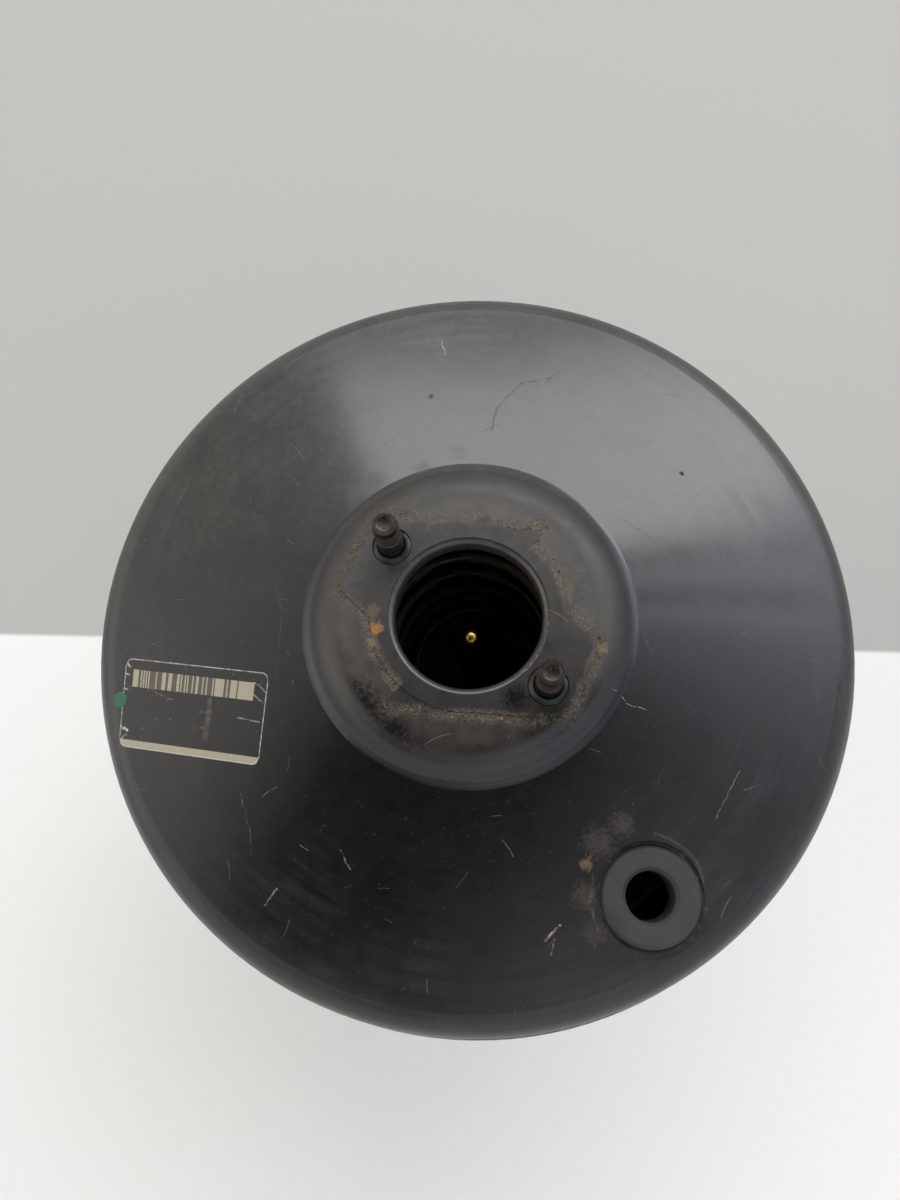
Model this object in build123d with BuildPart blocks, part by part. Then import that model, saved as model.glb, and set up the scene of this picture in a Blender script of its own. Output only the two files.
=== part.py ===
from build123d import *
from math import atan2, cos, degrees, radians, sin, sqrt, tan
import os

# Single-diaphragm vacuum brake booster.  Millimetres.  The origin is the centre of the bulkhead
# stud pattern on the rear mounting face; +Z runs along the booster to the master cylinder.
# Profiles are drawn in the XZ plane, where X is the radius and Y of the sketch is the height.

# ---------------------------------------------------------------- driving dimensions
booster_depth = 112.0  # bulkhead face to master cylinder face
shell_radius = 122.5  # outside of the front shell's wall
sheet = 1.5  # gauge of both pressed shells

# front shell
hole_radius = 22.7  # pilot hole for the master cylinder's nose
collar_depth = 5.5  # turned-in edge of the pilot hole
collar_bend = 2.0
boss_corner_radius = 44.0  # where the boss face and its shoulder would meet
boss_foot_radius = 50.5  # where the shoulder and the cone would meet
boss_height = 5.8  # boss face above the foot
boss_shoulder_bend = 12.0
boss_foot_bend = 6.0
cone_angle = 8.0
rim_bend = 9.0  # cone to wall
pad_height = 0.4  # raised seat of the master cylinder's flange
pad_radius = 30.0
pad_arm_start = 60.0  # where the arm's lower side leaves the pad's circle, in degrees
pad_reach = 43.0  # pad's arm, from the axis
pad_arm_rise = 4.0
pad_arm_width = 21.0
pad_corner_bend = 8.0
pad_inner_bend = 4.0

# joint between the shells
joint_height = 60.0  # underside of the rear shell's flange
joint_step = 4.5  # the skirt stands this much outside the wall
bead_height = 4.0
flange_lap = 0.3  # gap between the rear flange's edge and the skirt
skirt_hem = 1.0  # skirt below the crimp tabs
skirt_edge_bend = 2.5
crimp_count = 12
crimp_width = 16.0
crimp_reach = 3.4
slit_width = 1.2
slit_height = 4.0

# rear shell
rear_wall_gap = 1.5  # rear shell's wall inside the front shell's wall
mounting_radius = 60.0
mounting_bend = 6.0
mounting_rise = 6.0
mounting_step = 6.0  # run of the slope round the mounting face
rear_rim_height = 18.0
rear_rim_bend = 16.0
flange_bend = 1.0
neck_radius = 29.5
neck_length = 17.0
neck_lip_radius = 24.0
neck_bend = 1.5
neck_lip_bend = 2.5

# studs and reinforcement plates
stud_radius = 4.0
stud_shank_radius = 4.6  # pressed-in shank between the head and the thread
stud_fit = 0.05  # radial gap round a stud's shank
stud_chamfer = 0.5
stud_head_radius = 6.0
stud_head_height = 2.0
front_stud_circle = 32.4
front_stud_count = 2
front_stud_angle = 136.9
front_stud_length = 20.0
front_stud_dog = 3.0
front_stud_dog_radius = 3.6
stud_dish_radius = 2.9
stud_dish_depth = 0.5
dimple_radius = 6.2
dimple_depth = 0.5
front_plate_thickness = 3.0
front_plate_radius = 33.0
front_plate_lobe = 7.0
front_plate_chamfer = 0.5
rear_stud_spacing_x = 80.0
rear_stud_spacing_y = 60.0
rear_stud_rows = 2
rear_stud_length = 24.0
rear_plate_thickness = 2.0
rear_plate_radius = 57.0

# check valve grommet
grommet_inset = 25.1  # its centre, in from the outside of the shell's wall
grommet_angle = -57.6
seat_radius = 17.3
seat_drop = 1.6  # seat below the cone at the grommet's centre
grommet_hole = 11.5  # hole in the shell
grommet_flange = 14.7
grommet_flange_thickness = 2.4
grommet_lip_radius = 13.2
grommet_bore = 7.2
grommet_depth = 12.0
grommet_chamfer = 1.2
grommet_gap = 0.1

# power piston
piston_travel = 33.0
piston_rest_gap = 3.5  # at rest, above the heads of the bulkhead studs
tail_radius = 20.0
running_gap = 0.05
hub_radius = 24.0
hub_height = 34.0
cup_radius = 21.2
cup_floor = 20.0
disc_seat = 12.0
disc_radius = 11.5
disc_thickness = 6.0
disc_gap = 0.1
piston_flange_radius = 30.0
piston_flange_thickness = 3.0
plunger_bore = 8.5
web_rear = -16.0  # rear face of the web that carries the vacuum seat
vacuum_seat_inner = 11.0
vacuum_seat_outer = 12.6
vacuum_seat_height = 3.0
poppet_chamber_radius = 15.2
poppet_chamber_length = 18.0
retainer_bore_radius = 16.2
passage_inner = 13.0
passage_arc = 60.0
air_groove_width = 8.0
air_groove_reach = 10.6
boot_groove_depth = 0.8
boot_groove_width = 2.0
boot_groove_edge = 2.0

# diaphragm and its plate
plate_thickness = 1.2
plate_rim = 10.5  # height of the plate's rim
plate_rise_gap = 5.5  # the plate's rim starts this much above the rear shell's
plate_seat_width = 5.0  # flat of the plate outside the valve body's flange
plate_slope_run = 9.0
plate_hole_gap = 0.3
plate_bend = 4.0
plate_floor_bend = 12.0
plate_rim_bend = 6.0
inner_bead_height = 3.5
inner_bead_lap = 1.0
membrane = 1.8
membrane_gap = 0.4
membrane_wall_gap = 2.0  # membrane inside the rear shell's wall
rolling_gap = 5.7  # plate's rim inside the membrane's wall
membrane_rim_bend = 2.0
membrane_roll_bend = 4.5
membrane_flange_lap = 2.5

rod_head_thickness = 4.0
rod_collar_radius = 5.3
rod_collar_top = 52.0
rod_shaft_radius = 4.3
rod_tip = 83.0
rod_tip_bend = 4.2
rod_collar_chamfer = 0.5
rod_retainer_thickness = 1.0
rod_retainer_gap = 1.0
rod_retainer_rim = 6.0
rod_retainer_holes = 6
rod_retainer_hole_radius = 2.5

spring_radius = 27.2
spring_wire = 3.6
spring_turns = 6.0
wire_flats = 8  # each spring's wire is drawn with flats, so that its coils stay light

# control valve
plunger_travel = 1.8
key_thickness = 3.0
key_width = 22.0
key_reach = 36.0
key_floor = 3.9
key_gap = 0.1
key_side_gap = 0.2
key_corner_bend = 3.0
plunger_nose_gap = 2.0
plunger_waist = 5.5
plunger_head_radius = 9.4
plunger_head_thickness = 1.5
plunger_socket_lip = 3.9
seat_rim_inner = 8.2
seat_rim_depth = 0.5
vacuum_gap = 1.0  # poppet off the vacuum seat at rest
ball_radius = 4.6
ball_gap = 0.1
ball_cover = 6.0  # the ball's centre, in from the plunger's air seat
poppet_bore = 7.2
poppet_radius = 13.4
poppet_face_thickness = 2.5
poppet_wall = 1.2
poppet_bead_thickness = 2.5
retainer_gauge = 1.5
retainer_depth = 8.0
retainer_hole = 9.5
poppet_spring_wire = 1.2
poppet_spring_radius = 10.4
poppet_spring_turns = 3.0
rod_spring_wire = 1.6
rod_spring_radius = 11.0
rod_spring_turns = 4.0
rod_spring_seat_gap = 2.0  # the seat's underside, in front of the filters
rod_spring_seat_thickness = 1.5
rod_spring_seat_radius = 12.6

# input rod, filters and clevis
input_neck_radius = 3.0
input_neck_length = 10.0
input_rod_radius = 5.0
rod_reach = 28.0  # bare rod between the valve body's tail and the clevis
rod_grip = 14.0  # rod inside the clevis
foam_thickness = 4.5
felt_thickness = 5.0
filter_gap = 0.2
filter_swing_gap = 0.67
nut_flats = 17.0
nut_thickness = 6.0
nut_gap = 0.1
nut_chamfer = 0.8
clevis_boss_radius = 9.0
clevis_boss_length = 12.0
clevis_ear_radius = 10.0
clevis_width = 24.0
clevis_slot = 12.0
clevis_depth = 20.0
clevis_length = 32.0  # from its front to the pin's axis
clevis_bore_gap = 1.0  # between the rod's end and the bottom of its bore
pin_radius = 5.0
swing = 3.0  # of the input rod to either side, in degrees

# seals and boot
guide_length = 6.0
seal_length = 7.0
seal_lip_gap = 0.3
seal_wall = 2.4
retainer_ring_thickness = 1.0
boot_wall = 1.2
boot_gap = 0.1
boot_front_gap = 4.0  # between the mounting face and the boot
boot_folds = 4
boot_peak_radius = 33.0
boot_valley_radius = 25.0
boot_cuff_length = 7.0
boot_folded = 20.0  # length of the boot with the piston right forward

# ---------------------------------------------------------------- heights worked out from them
boss_face = booster_depth - pad_height
boss_foot = boss_face - boss_height
rim_corner = boss_foot - (shell_radius - boss_foot_radius) * tan(radians(cone_angle))
joint_top = joint_height + sheet + bead_height + sheet
skirt_radius = shell_radius + joint_step
skirt_inner = skirt_radius - sheet
skirt_end = joint_height - sheet - skirt_hem
rear_wall_radius = shell_radius - sheet - rear_wall_gap
rear_flange_radius = skirt_inner - flange_lap
rear_cone_radius = mounting_radius + mounting_step
neck_inner = neck_radius - sheet
front_plate_top = boss_face - sheet
front_plate_floor = front_plate_top - front_plate_thickness
rear_plate_top = sheet + rear_plate_thickness
grommet_radius_at = shell_radius - grommet_inset
cone_at_grommet = boss_foot - (grommet_radius_at - boss_foot_radius) * tan(radians(cone_angle))
grommet_seat = cone_at_grommet - seat_drop
grommet_x = grommet_radius_at * cos(radians(grommet_angle))
grommet_y = grommet_radius_at * sin(radians(grommet_angle))
piston_flange_floor = rear_plate_top + stud_head_height + piston_rest_gap
bead_floor = piston_flange_floor + piston_flange_thickness
plate_seat = bead_floor + inner_bead_height
plate_rise = rear_rim_height + plate_rise_gap
membrane_wall_radius = rear_wall_radius - sheet - membrane_wall_gap - membrane
plate_radius = membrane_wall_radius - rolling_gap
tail_end = neck_length + boot_folded + piston_travel  # behind the mounting face
rod_head_floor = disc_seat + disc_thickness
rod_head_top = rod_head_floor + rod_head_thickness
key_top = key_floor + key_thickness
air_seat = web_rear - vacuum_seat_height - vacuum_gap
poppet_shoulder = web_rear - poppet_chamber_length
ball_height = air_seat + ball_cover
filter_split = felt_thickness - tail_end
filter_front = filter_split + foam_thickness
filter_bore = input_rod_radius + (tail_end + ball_height) * sin(radians(swing)) + filter_swing_gap
rod_spring_seat_height = filter_front + rod_spring_seat_gap + rod_spring_seat_thickness
clevis_front = -tail_end - rod_reach
pin_height = clevis_front - clevis_length
stud_hole_radius = stud_shank_radius + stud_fit
os.makedirs("parts", exist_ok=True)


def front_stud_places():
    """Places of the two master cylinder studs, on a circle about the axis."""
    return PolarLocations(front_stud_circle, front_stud_count, front_stud_angle)


def rear_stud_places():
    """Places of the four bulkhead studs, on a rectangle about the axis."""
    return GridLocations(rear_stud_spacing_x, rear_stud_spacing_y, rear_stud_rows, rear_stud_rows)


def ring_section(inner, outer, low, high, mode=Mode.ADD):
    """Rectangle between two radii and two heights, for a BuildSketch on Plane.XZ."""
    with Locations(((inner + outer) / 2, (low + high) / 2)):
        Rectangle(outer - inner, high - low, mode=mode)


def save(part, name):
    """Label one sub-part and write its STEP file."""
    part.label = name
    export_step(part, f"parts/{name}.step")


# ---------------------------------------------------------------- front shell
front_skin = [
    (hole_radius, boss_face - collar_depth),
    (hole_radius, boss_face),
    (boss_corner_radius, boss_face),
    (boss_foot_radius, boss_foot),
    (shell_radius, rim_corner),
    (shell_radius, joint_top),
    (skirt_radius, joint_top),
    (skirt_radius, skirt_end),
]
front_bends = [collar_bend, boss_shoulder_bend, boss_foot_bend, rim_bend, flange_bend, skirt_edge_bend]

with BuildPart() as front_envelope:
    with BuildSketch(Plane.XZ) as envelope_section:
        with BuildLine() as envelope_line:
            skin = FilletPolyline(*front_skin[1:6], radius=front_bends[1:4])
            Polyline(skin @ 1, (0, joint_top), (0, boss_face), skin @ 0)
        make_face()
    revolve(axis=Axis.Z)

# wall of the grommet's seat, cut off where it meets the cone
with BuildPart() as seat_wall:
    with BuildSketch(Plane.XY.offset(grommet_seat - sheet)) as seat_wall_sketch:
        with Locations((grommet_x, grommet_y)):
            Circle(seat_radius)
            Circle(seat_radius - sheet, mode=Mode.SUBTRACT)
    extrude(amount=booster_depth - grommet_seat)
    add(front_envelope.part, mode=Mode.INTERSECT)

with BuildPart() as front_shell:
    with BuildSketch(Plane.XZ) as front_section:
        with BuildLine() as front_line:
            FilletPolyline(*front_skin, radius=front_bends)
            offset(amount=sheet, side=Side.RIGHT)
        make_face()
    revolve(axis=Axis.Z)
    # round seat for the check valve's grommet, pressed flat into the cone
    with BuildSketch(Plane.XY.offset(grommet_seat - sheet)) as seat_sketch:
        with Locations((grommet_x, grommet_y)):
            Circle(seat_radius)
    extrude(amount=booster_depth, mode=Mode.SUBTRACT)
    extrude(seat_sketch.sketch, amount=sheet)
    add(seat_wall.part)
    with BuildSketch(Plane.XY.offset(grommet_seat - sheet)) as under_seat_sketch:
        with Locations((grommet_x, grommet_y)):
            Circle(seat_radius - sheet)
    extrude(amount=-boss_height, mode=Mode.SUBTRACT)
    with BuildSketch(Plane.XY.offset(grommet_seat)) as seat_hole_sketch:
        with Locations((grommet_x, grommet_y)):
            Circle(grommet_hole)
    extrude(amount=-sheet, mode=Mode.SUBTRACT)
    # raised pad with the outline of the master cylinder's flange
    arm_start = (pad_radius * cos(radians(pad_arm_start)), -pad_radius * sin(radians(pad_arm_start)))
    with BuildSketch(Plane.XY.offset(boss_face - sheet / 2)) as pad_sketch:
        with PolarLocations(0, front_stud_count, front_stud_angle):
            with BuildSketch(mode=Mode.PRIVATE) as arm_sketch:
                with BuildLine() as arm_line:
                    FilletPolyline(
                        (0, -pad_radius),
                        arm_start,
                        (pad_reach, -pad_arm_rise),
                        (pad_reach - pad_corner_bend, pad_arm_width),
                        (0, pad_arm_width),
                        radius=[0, pad_corner_bend, pad_inner_bend],
                    )
                    Line((0, pad_arm_width), (0, -pad_radius))
                make_face()
            add(arm_sketch.sketch)
        Circle(pad_radius)
        Circle(hole_radius + collar_bend, mode=Mode.SUBTRACT)
    extrude(amount=sheet / 2 + pad_height)
    with BuildSketch(Plane.XY.offset(booster_depth)) as dimple_sketch:
        with front_stud_places():
            Circle(dimple_radius)
    extrude(amount=-dimple_depth, mode=Mode.SUBTRACT)
    with BuildSketch(Plane.XY.offset(booster_depth)) as stud_holes:
        with front_stud_places():
            Circle(stud_hole_radius)
    extrude(amount=-pad_height - sheet, mode=Mode.SUBTRACT)
    # crimp tabs bent in under the rear shell's flange, each between two slits
    with BuildSketch(Plane.XY.offset(joint_height - sheet)) as crimp_sketch:
        with PolarLocations(skirt_inner, crimp_count):
            Rectangle(2 * crimp_reach, crimp_width)
        Circle(skirt_inner + sheet / 2, mode=Mode.INTERSECT)
    extrude(amount=sheet)
    half_tab = degrees(atan2(crimp_width + slit_width, 2 * skirt_radius))
    with BuildSketch(Plane.XY.offset(skirt_end)) as slit_sketch:
        for side in (-half_tab, half_tab):
            with PolarLocations(skirt_radius, crimp_count, start_angle=side):
                Rectangle(3 * sheet, slit_width)
    extrude(amount=slit_height, mode=Mode.SUBTRACT)
save(front_shell.part, "front_shell")

# ---------------------------------------------------------------- front plate and studs
with BuildPart() as front_reinforcement:
    with BuildSketch(Plane.XY.offset(front_plate_floor)) as plate_sketch:
        with BuildLine() as plate_line:
            CenterArc((0, 0), front_plate_radius, 0, 360)
            with front_stud_places():
                CenterArc((0, 0), front_plate_lobe, 0, 360)
        make_hull()
        Circle(hole_radius + collar_bend + running_gap, mode=Mode.SUBTRACT)
        with front_stud_places():
            Circle(stud_hole_radius, mode=Mode.SUBTRACT)
    extrude(amount=front_plate_thickness)
    # stud heads sit flush in the plate's underside, clear of the return spring
    with BuildSketch(Plane.XY.offset(front_plate_floor)) as head_seats:
        with front_stud_places():
            Circle(stud_head_radius + stud_fit)
    extrude(amount=stud_head_height, mode=Mode.SUBTRACT)
    chamfer(front_reinforcement.faces().sort_by(Axis.Z)[-1].outer_wire().edges(), front_plate_chamfer)
save(front_reinforcement.part, "front_reinforcement")

# shank, reduced end and dished tip of a stud, drawn upwards from its head
with BuildPart() as front_stud:
    with BuildSketch(Plane.XZ) as front_stud_section:
        ring_section(0, stud_head_radius, front_plate_floor, front_plate_floor + stud_head_height)
        shank_end = booster_depth - dimple_depth
        dog_floor = booster_depth + front_stud_length - front_stud_dog
        ring_section(0, stud_shank_radius, front_plate_floor, shank_end)
        ring_section(0, stud_radius, shank_end, dog_floor)
        ring_section(0, front_stud_dog_radius, dog_floor, dog_floor + front_stud_dog)
    revolve(axis=Axis.Z)
    with BuildSketch(Plane.XY.offset(booster_depth + front_stud_length)) as dish_sketch:
        Circle(stud_dish_radius)
    extrude(amount=-stud_dish_depth, taper=45, mode=Mode.SUBTRACT)
    chamfer(front_stud.edges().filter_by(GeomType.CIRCLE).group_by(Axis.Z)[0], stud_chamfer)

with BuildPart() as master_cylinder_studs:
    with front_stud_places():
        add(front_stud.part)
save(master_cylinder_studs.part, "master_cylinder_studs")

# ---------------------------------------------------------------- check valve grommet
with BuildPart() as check_valve_grommet:
    with BuildSketch(Plane.XZ) as grommet_section:
        flange_top = grommet_seat + grommet_flange_thickness
        with BuildLine() as grommet_line:
            FilletPolyline(
                (grommet_bore, grommet_seat - grommet_depth),
                (grommet_bore, flange_top - grommet_chamfer),
                (grommet_bore + grommet_chamfer, flange_top),
                (grommet_flange - grommet_chamfer, flange_top),
                (grommet_flange, flange_top - grommet_chamfer),
                (grommet_flange, grommet_seat),
                (grommet_hole - grommet_gap, grommet_seat),
                (grommet_hole - grommet_gap, grommet_seat - sheet - grommet_gap),
                (grommet_lip_radius, grommet_seat - sheet - grommet_gap),
                (grommet_hole - grommet_gap, grommet_seat - grommet_depth),
                (grommet_bore, grommet_seat - grommet_depth),
                radius=0,
            )
        make_face()
    revolve(axis=Axis.Z)
check_valve_grommet.part.position += (grommet_x, grommet_y, 0)
save(check_valve_grommet.part, "check_valve_grommet")

# ---------------------------------------------------------------- rear shell, plate and studs
rear_skin = [
    (neck_lip_radius, -neck_length),
    (neck_radius, -neck_length),
    (neck_radius, 0),
    (mounting_radius, 0),
    (rear_cone_radius, mounting_rise),
    (rear_wall_radius, rear_rim_height),
    (rear_wall_radius, joint_height),
    (rear_flange_radius, joint_height),
]
rear_bends = [neck_lip_bend, neck_bend, mounting_bend, mounting_bend, rear_rim_bend, flange_bend]

with BuildPart() as rear_shell:
    with BuildSketch(Plane.XZ) as rear_section:
        with BuildLine() as rear_line:
            FilletPolyline(*rear_skin, radius=rear_bends)
            offset(amount=sheet, side=Side.LEFT)
        make_face()
    revolve(axis=Axis.Z)
    with BuildSketch(Plane.XY) as rear_stud_holes:
        with rear_stud_places():
            Circle(stud_hole_radius)
    extrude(amount=sheet, mode=Mode.SUBTRACT)
save(rear_shell.part, "rear_shell")

with BuildPart() as rear_reinforcement:
    with BuildSketch(Plane.XY.offset(sheet)) as rear_plate_sketch:
        Circle(rear_plate_radius)
        Circle(neck_radius + neck_bend + running_gap, mode=Mode.SUBTRACT)
        with rear_stud_places():
            Circle(stud_hole_radius, mode=Mode.SUBTRACT)
    extrude(amount=rear_plate_thickness)
save(rear_reinforcement.part, "rear_reinforcement")

with BuildPart() as rear_stud:
    with BuildSketch(Plane.XZ) as rear_stud_section:
        ring_section(0, stud_head_radius, rear_plate_top, rear_plate_top + stud_head_height)
        ring_section(0, stud_shank_radius, 0, rear_plate_top)
        ring_section(0, stud_radius, -rear_stud_length, 0)
    revolve(axis=Axis.Z)
    chamfer(rear_stud.edges().filter_by(GeomType.CIRCLE).group_by(Axis.Z)[0], stud_chamfer)
    chamfer(rear_stud.edges().filter_by(GeomType.CIRCLE).group_by(Axis.Z)[-1], stud_chamfer)

with BuildPart() as bulkhead_studs:
    with rear_stud_places():
        add(rear_stud.part)
save(bulkhead_studs.part, "bulkhead_studs")

# ---------------------------------------------------------------- neck: guide, seal, retainer
guide_floor = sheet - neck_length
seal_floor = guide_floor + guide_length
seal_top = seal_floor + seal_length
guide_outer = neck_inner - running_gap

with BuildPart() as guide_ring:
    with BuildSketch(Plane.XZ) as guide_section:
        ring_section(tail_radius + running_gap, guide_outer, guide_floor + neck_lip_bend, seal_floor)
    revolve(axis=Axis.Z)
save(guide_ring.part, "guide_ring")

with BuildPart() as valve_body_seal:
    with BuildSketch(Plane.XZ) as seal_section:
        with BuildLine() as seal_line:
            Polyline(
                (guide_outer, seal_floor),
                (guide_outer, seal_top),
                (guide_outer - seal_wall, seal_top),
                (guide_outer - seal_wall, seal_floor + seal_wall),
                (tail_radius + seal_lip_gap + seal_wall, seal_floor + seal_wall),
                (tail_radius + seal_lip_gap + seal_wall / 2, seal_top - seal_wall / 2),
                (tail_radius + seal_lip_gap, seal_top - seal_wall / 2),
                (tail_radius + 2 * seal_lip_gap, seal_floor),
                (guide_outer, seal_floor),
            )
        make_face()
    revolve(axis=Axis.Z)
save(valve_body_seal.part, "valve_body_seal")

with BuildPart() as seal_retainer:
    with BuildSketch(Plane.XZ) as seal_retainer_section:
        ring_top = seal_top + retainer_ring_thickness
        ring_section(tail_radius + 2 * seal_lip_gap, guide_outer, seal_top, ring_top)
    revolve(axis=Axis.Z)
save(seal_retainer.part, "seal_retainer")

# ---------------------------------------------------------------- valve body
with BuildPart() as valve_body:
    with BuildSketch(Plane.XZ) as body_section:
        ring_section(0, tail_radius, -tail_end, piston_flange_floor)
        ring_section(0, piston_flange_radius, piston_flange_floor, bead_floor)
        ring_section(0, hub_radius, bead_floor, hub_height)
        ring_section(0, cup_radius, cup_floor, hub_height, mode=Mode.SUBTRACT)
        ring_section(0, disc_radius + disc_gap, disc_seat, cup_floor, mode=Mode.SUBTRACT)
        ring_section(0, plunger_bore, web_rear, disc_seat, mode=Mode.SUBTRACT)
        ring_section(0, poppet_chamber_radius, poppet_shoulder, web_rear, mode=Mode.SUBTRACT)
        ring_section(0, retainer_bore_radius, -tail_end, poppet_shoulder, mode=Mode.SUBTRACT)
        ring_section(vacuum_seat_inner, vacuum_seat_outer, web_rear - vacuum_seat_height, web_rear)
        groove_floor = boot_groove_edge - tail_end
        ring_section(
            tail_radius - boot_groove_depth,
            tail_radius,
            groove_floor,
            groove_floor + boot_groove_width,
            mode=Mode.SUBTRACT,
        )
    revolve(axis=Axis.Z)
    fillet(valve_body.edges().filter_by(GeomType.CIRCLE).group_by(Axis.Z)[-1], (hub_radius - cup_radius) / 3)
    # kidney passages carry vacuum from the cup to the poppet chamber
    passage_middle = (passage_inner + poppet_chamber_radius) / 2
    passage_width = poppet_chamber_radius - passage_inner
    with BuildSketch(Plane.XY.offset(web_rear)) as passage_sketch:
        for middle in (90, 270):
            with BuildLine() as passage_line:
                CenterArc((0, 0), passage_middle, middle - passage_arc / 2, passage_arc)
            SlotArc(passage_line.edge(), passage_width)
    extrude(amount=cup_floor - web_rear, mode=Mode.SUBTRACT)
    # slot for the cross key, and the grooves that lead air to it along the plunger
    with BuildSketch(Plane.XY.offset(key_floor - key_gap)) as key_slot_sketch:
        Rectangle(2 * piston_flange_radius, key_width + 2 * key_side_gap)
    extrude(amount=key_thickness + 2 * key_gap, mode=Mode.SUBTRACT)
    with BuildSketch(Plane.XY.offset(web_rear)) as air_groove_sketch:
        Rectangle(2 * air_groove_reach, air_groove_width)
    extrude(amount=key_floor - web_rear, mode=Mode.SUBTRACT)
save(valve_body.part, "valve_body")

# ---------------------------------------------------------------- diaphragm plate and diaphragm
plate_slope_start = piston_flange_radius + plate_seat_width
plate_slope_end = plate_slope_start + plate_slope_run
plate_points = [
    (hub_radius + plate_hole_gap, plate_seat),
    (plate_slope_start, plate_seat),
    (plate_slope_end, piston_flange_floor),
    (mounting_radius, piston_flange_floor),
    (plate_radius, plate_rise),
    (plate_radius, plate_rise + plate_rim),
]

with BuildPart() as diaphragm_plate:
    with BuildSketch(Plane.XZ) as plate_section:
        with BuildLine() as plate_profile:
            FilletPolyline(*plate_points, radius=[plate_bend, plate_bend, plate_floor_bend, plate_rim_bend])
            offset(amount=plate_thickness, side=Side.LEFT)
        make_face()
    revolve(axis=Axis.Z)
save(diaphragm_plate.part, "diaphragm_plate")

bead_low = joint_height + sheet
bead_inner = rear_wall_radius + sheet + membrane_gap
membrane_top = bead_low + bead_height - sheet
membrane_points = [
    (piston_flange_radius - inner_bead_lap, plate_seat - membrane_gap),
    (plate_slope_start, plate_seat - membrane_gap),
    (plate_slope_end, piston_flange_floor - membrane_gap),
    (mounting_radius, piston_flange_floor - membrane_gap),
    (plate_radius, plate_rise - 2 * membrane_gap),
    (membrane_wall_radius, plate_rise + membrane),
    (membrane_wall_radius, membrane_top),
    (rear_wall_radius + membrane_flange_lap, membrane_top),
]
membrane_bends = [
    plate_bend,
    plate_bend,
    plate_floor_bend,
    membrane_rim_bend,
    membrane_roll_bend,
    plate_bend,
]

with BuildPart() as diaphragm:
    with BuildSketch(Plane.XZ) as membrane_section:
        with BuildLine() as membrane_line:
            FilletPolyline(*membrane_points, radius=membrane_bends)
            offset(amount=membrane, side=Side.RIGHT)
        make_face()
        ring_section(hub_radius + membrane_gap, piston_flange_radius, bead_floor, plate_seat)
        with BuildLine() as bead_line:
            FilletPolyline(
                (bead_inner, bead_low),
                (bead_inner, bead_low + bead_height),
                (rear_flange_radius, bead_low + bead_height),
                (rear_flange_radius, bead_low),
                radius=[bead_height / 2, bead_height / 3],
            )
            Line((rear_flange_radius, bead_low), (bead_inner, bead_low))
        make_face()
    revolve(axis=Axis.Z)
save(diaphragm.part, "diaphragm")

# ---------------------------------------------------------------- reaction disc and output rod
with BuildPart() as reaction_disc:
    with BuildSketch(Plane.XZ) as disc_section:
        ring_section(0, disc_radius, disc_seat, rod_head_floor)
    revolve(axis=Axis.Z)
save(reaction_disc.part, "reaction_disc")

with BuildPart() as output_rod:
    with BuildSketch(Plane.XZ) as rod_section:
        ring_section(0, disc_radius, rod_head_floor, rod_head_top)
        ring_section(0, rod_collar_radius, rod_head_top, rod_collar_top)
        ring_section(0, rod_shaft_radius, rod_collar_top, rod_tip)
    revolve(axis=Axis.Z)
    rod_circles = output_rod.edges().filter_by(GeomType.CIRCLE)
    fillet(rod_circles.group_by(Axis.Z)[-1], rod_tip_bend)
    collar_edges = rod_circles.filter_by_position(Axis.Z, rod_collar_top, rod_collar_top)
    chamfer(collar_edges.sort_by(SortBy.RADIUS)[-1], rod_collar_chamfer)
save(output_rod.part, "output_rod")

with BuildPart() as output_rod_retainer:
    with BuildSketch(Plane.XZ) as rod_retainer_section:
        rim_outer = cup_radius - running_gap
        rim_inner = rim_outer - rod_retainer_thickness
        ring_section(rim_inner, rim_outer, cup_floor, cup_floor + rod_retainer_rim)
        cap_top = rod_head_top + rod_retainer_thickness
        ring_section(rod_collar_radius + rod_retainer_gap, rim_outer, rod_head_top, cap_top)
    revolve(axis=Axis.Z)
    with BuildSketch(Plane.XY.offset(rod_head_top)) as vent_sketch:
        with PolarLocations((disc_radius + cup_radius) / 2, rod_retainer_holes):
            Circle(rod_retainer_hole_radius)
    extrude(amount=rod_retainer_thickness, mode=Mode.SUBTRACT)
save(output_rod_retainer.part, "output_rod_retainer")


def coil(radius, wire, turns, low, high):
    """Round wire swept along a helix whose outer surfaces reach from low to high."""
    rise = high - low - wire
    with BuildPart() as spring:
        with BuildLine() as spring_line:
            helix = Helix(pitch=rise / turns, height=rise, radius=radius, center=(0, 0, low + wire / 2))
        with BuildSketch(Plane(origin=helix @ 0, z_dir=helix % 0)) as wire_section:
            RegularPolygon(wire / 2, wire_flats)
        sweep()
    return spring.part


save(
    coil(spring_radius, spring_wire, spring_turns, plate_seat + plate_thickness, front_plate_floor),
    "return_spring",
)

# ---------------------------------------------------------------- control valve
with BuildPart() as cross_key:
    with BuildSketch(Plane.XY.offset(key_floor)) as key_sketch:
        Rectangle(2 * key_reach, key_width)
        fillet(key_sketch.vertices(), key_corner_bend)
        fork = plunger_waist + 2 * key_gap
        Circle(fork, mode=Mode.SUBTRACT)
        with Locations((key_reach / 2, 0)):
            Rectangle(key_reach, 2 * fork, mode=Mode.SUBTRACT)
    extrude(amount=key_thickness)
save(cross_key.part, "cross_key")

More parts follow.
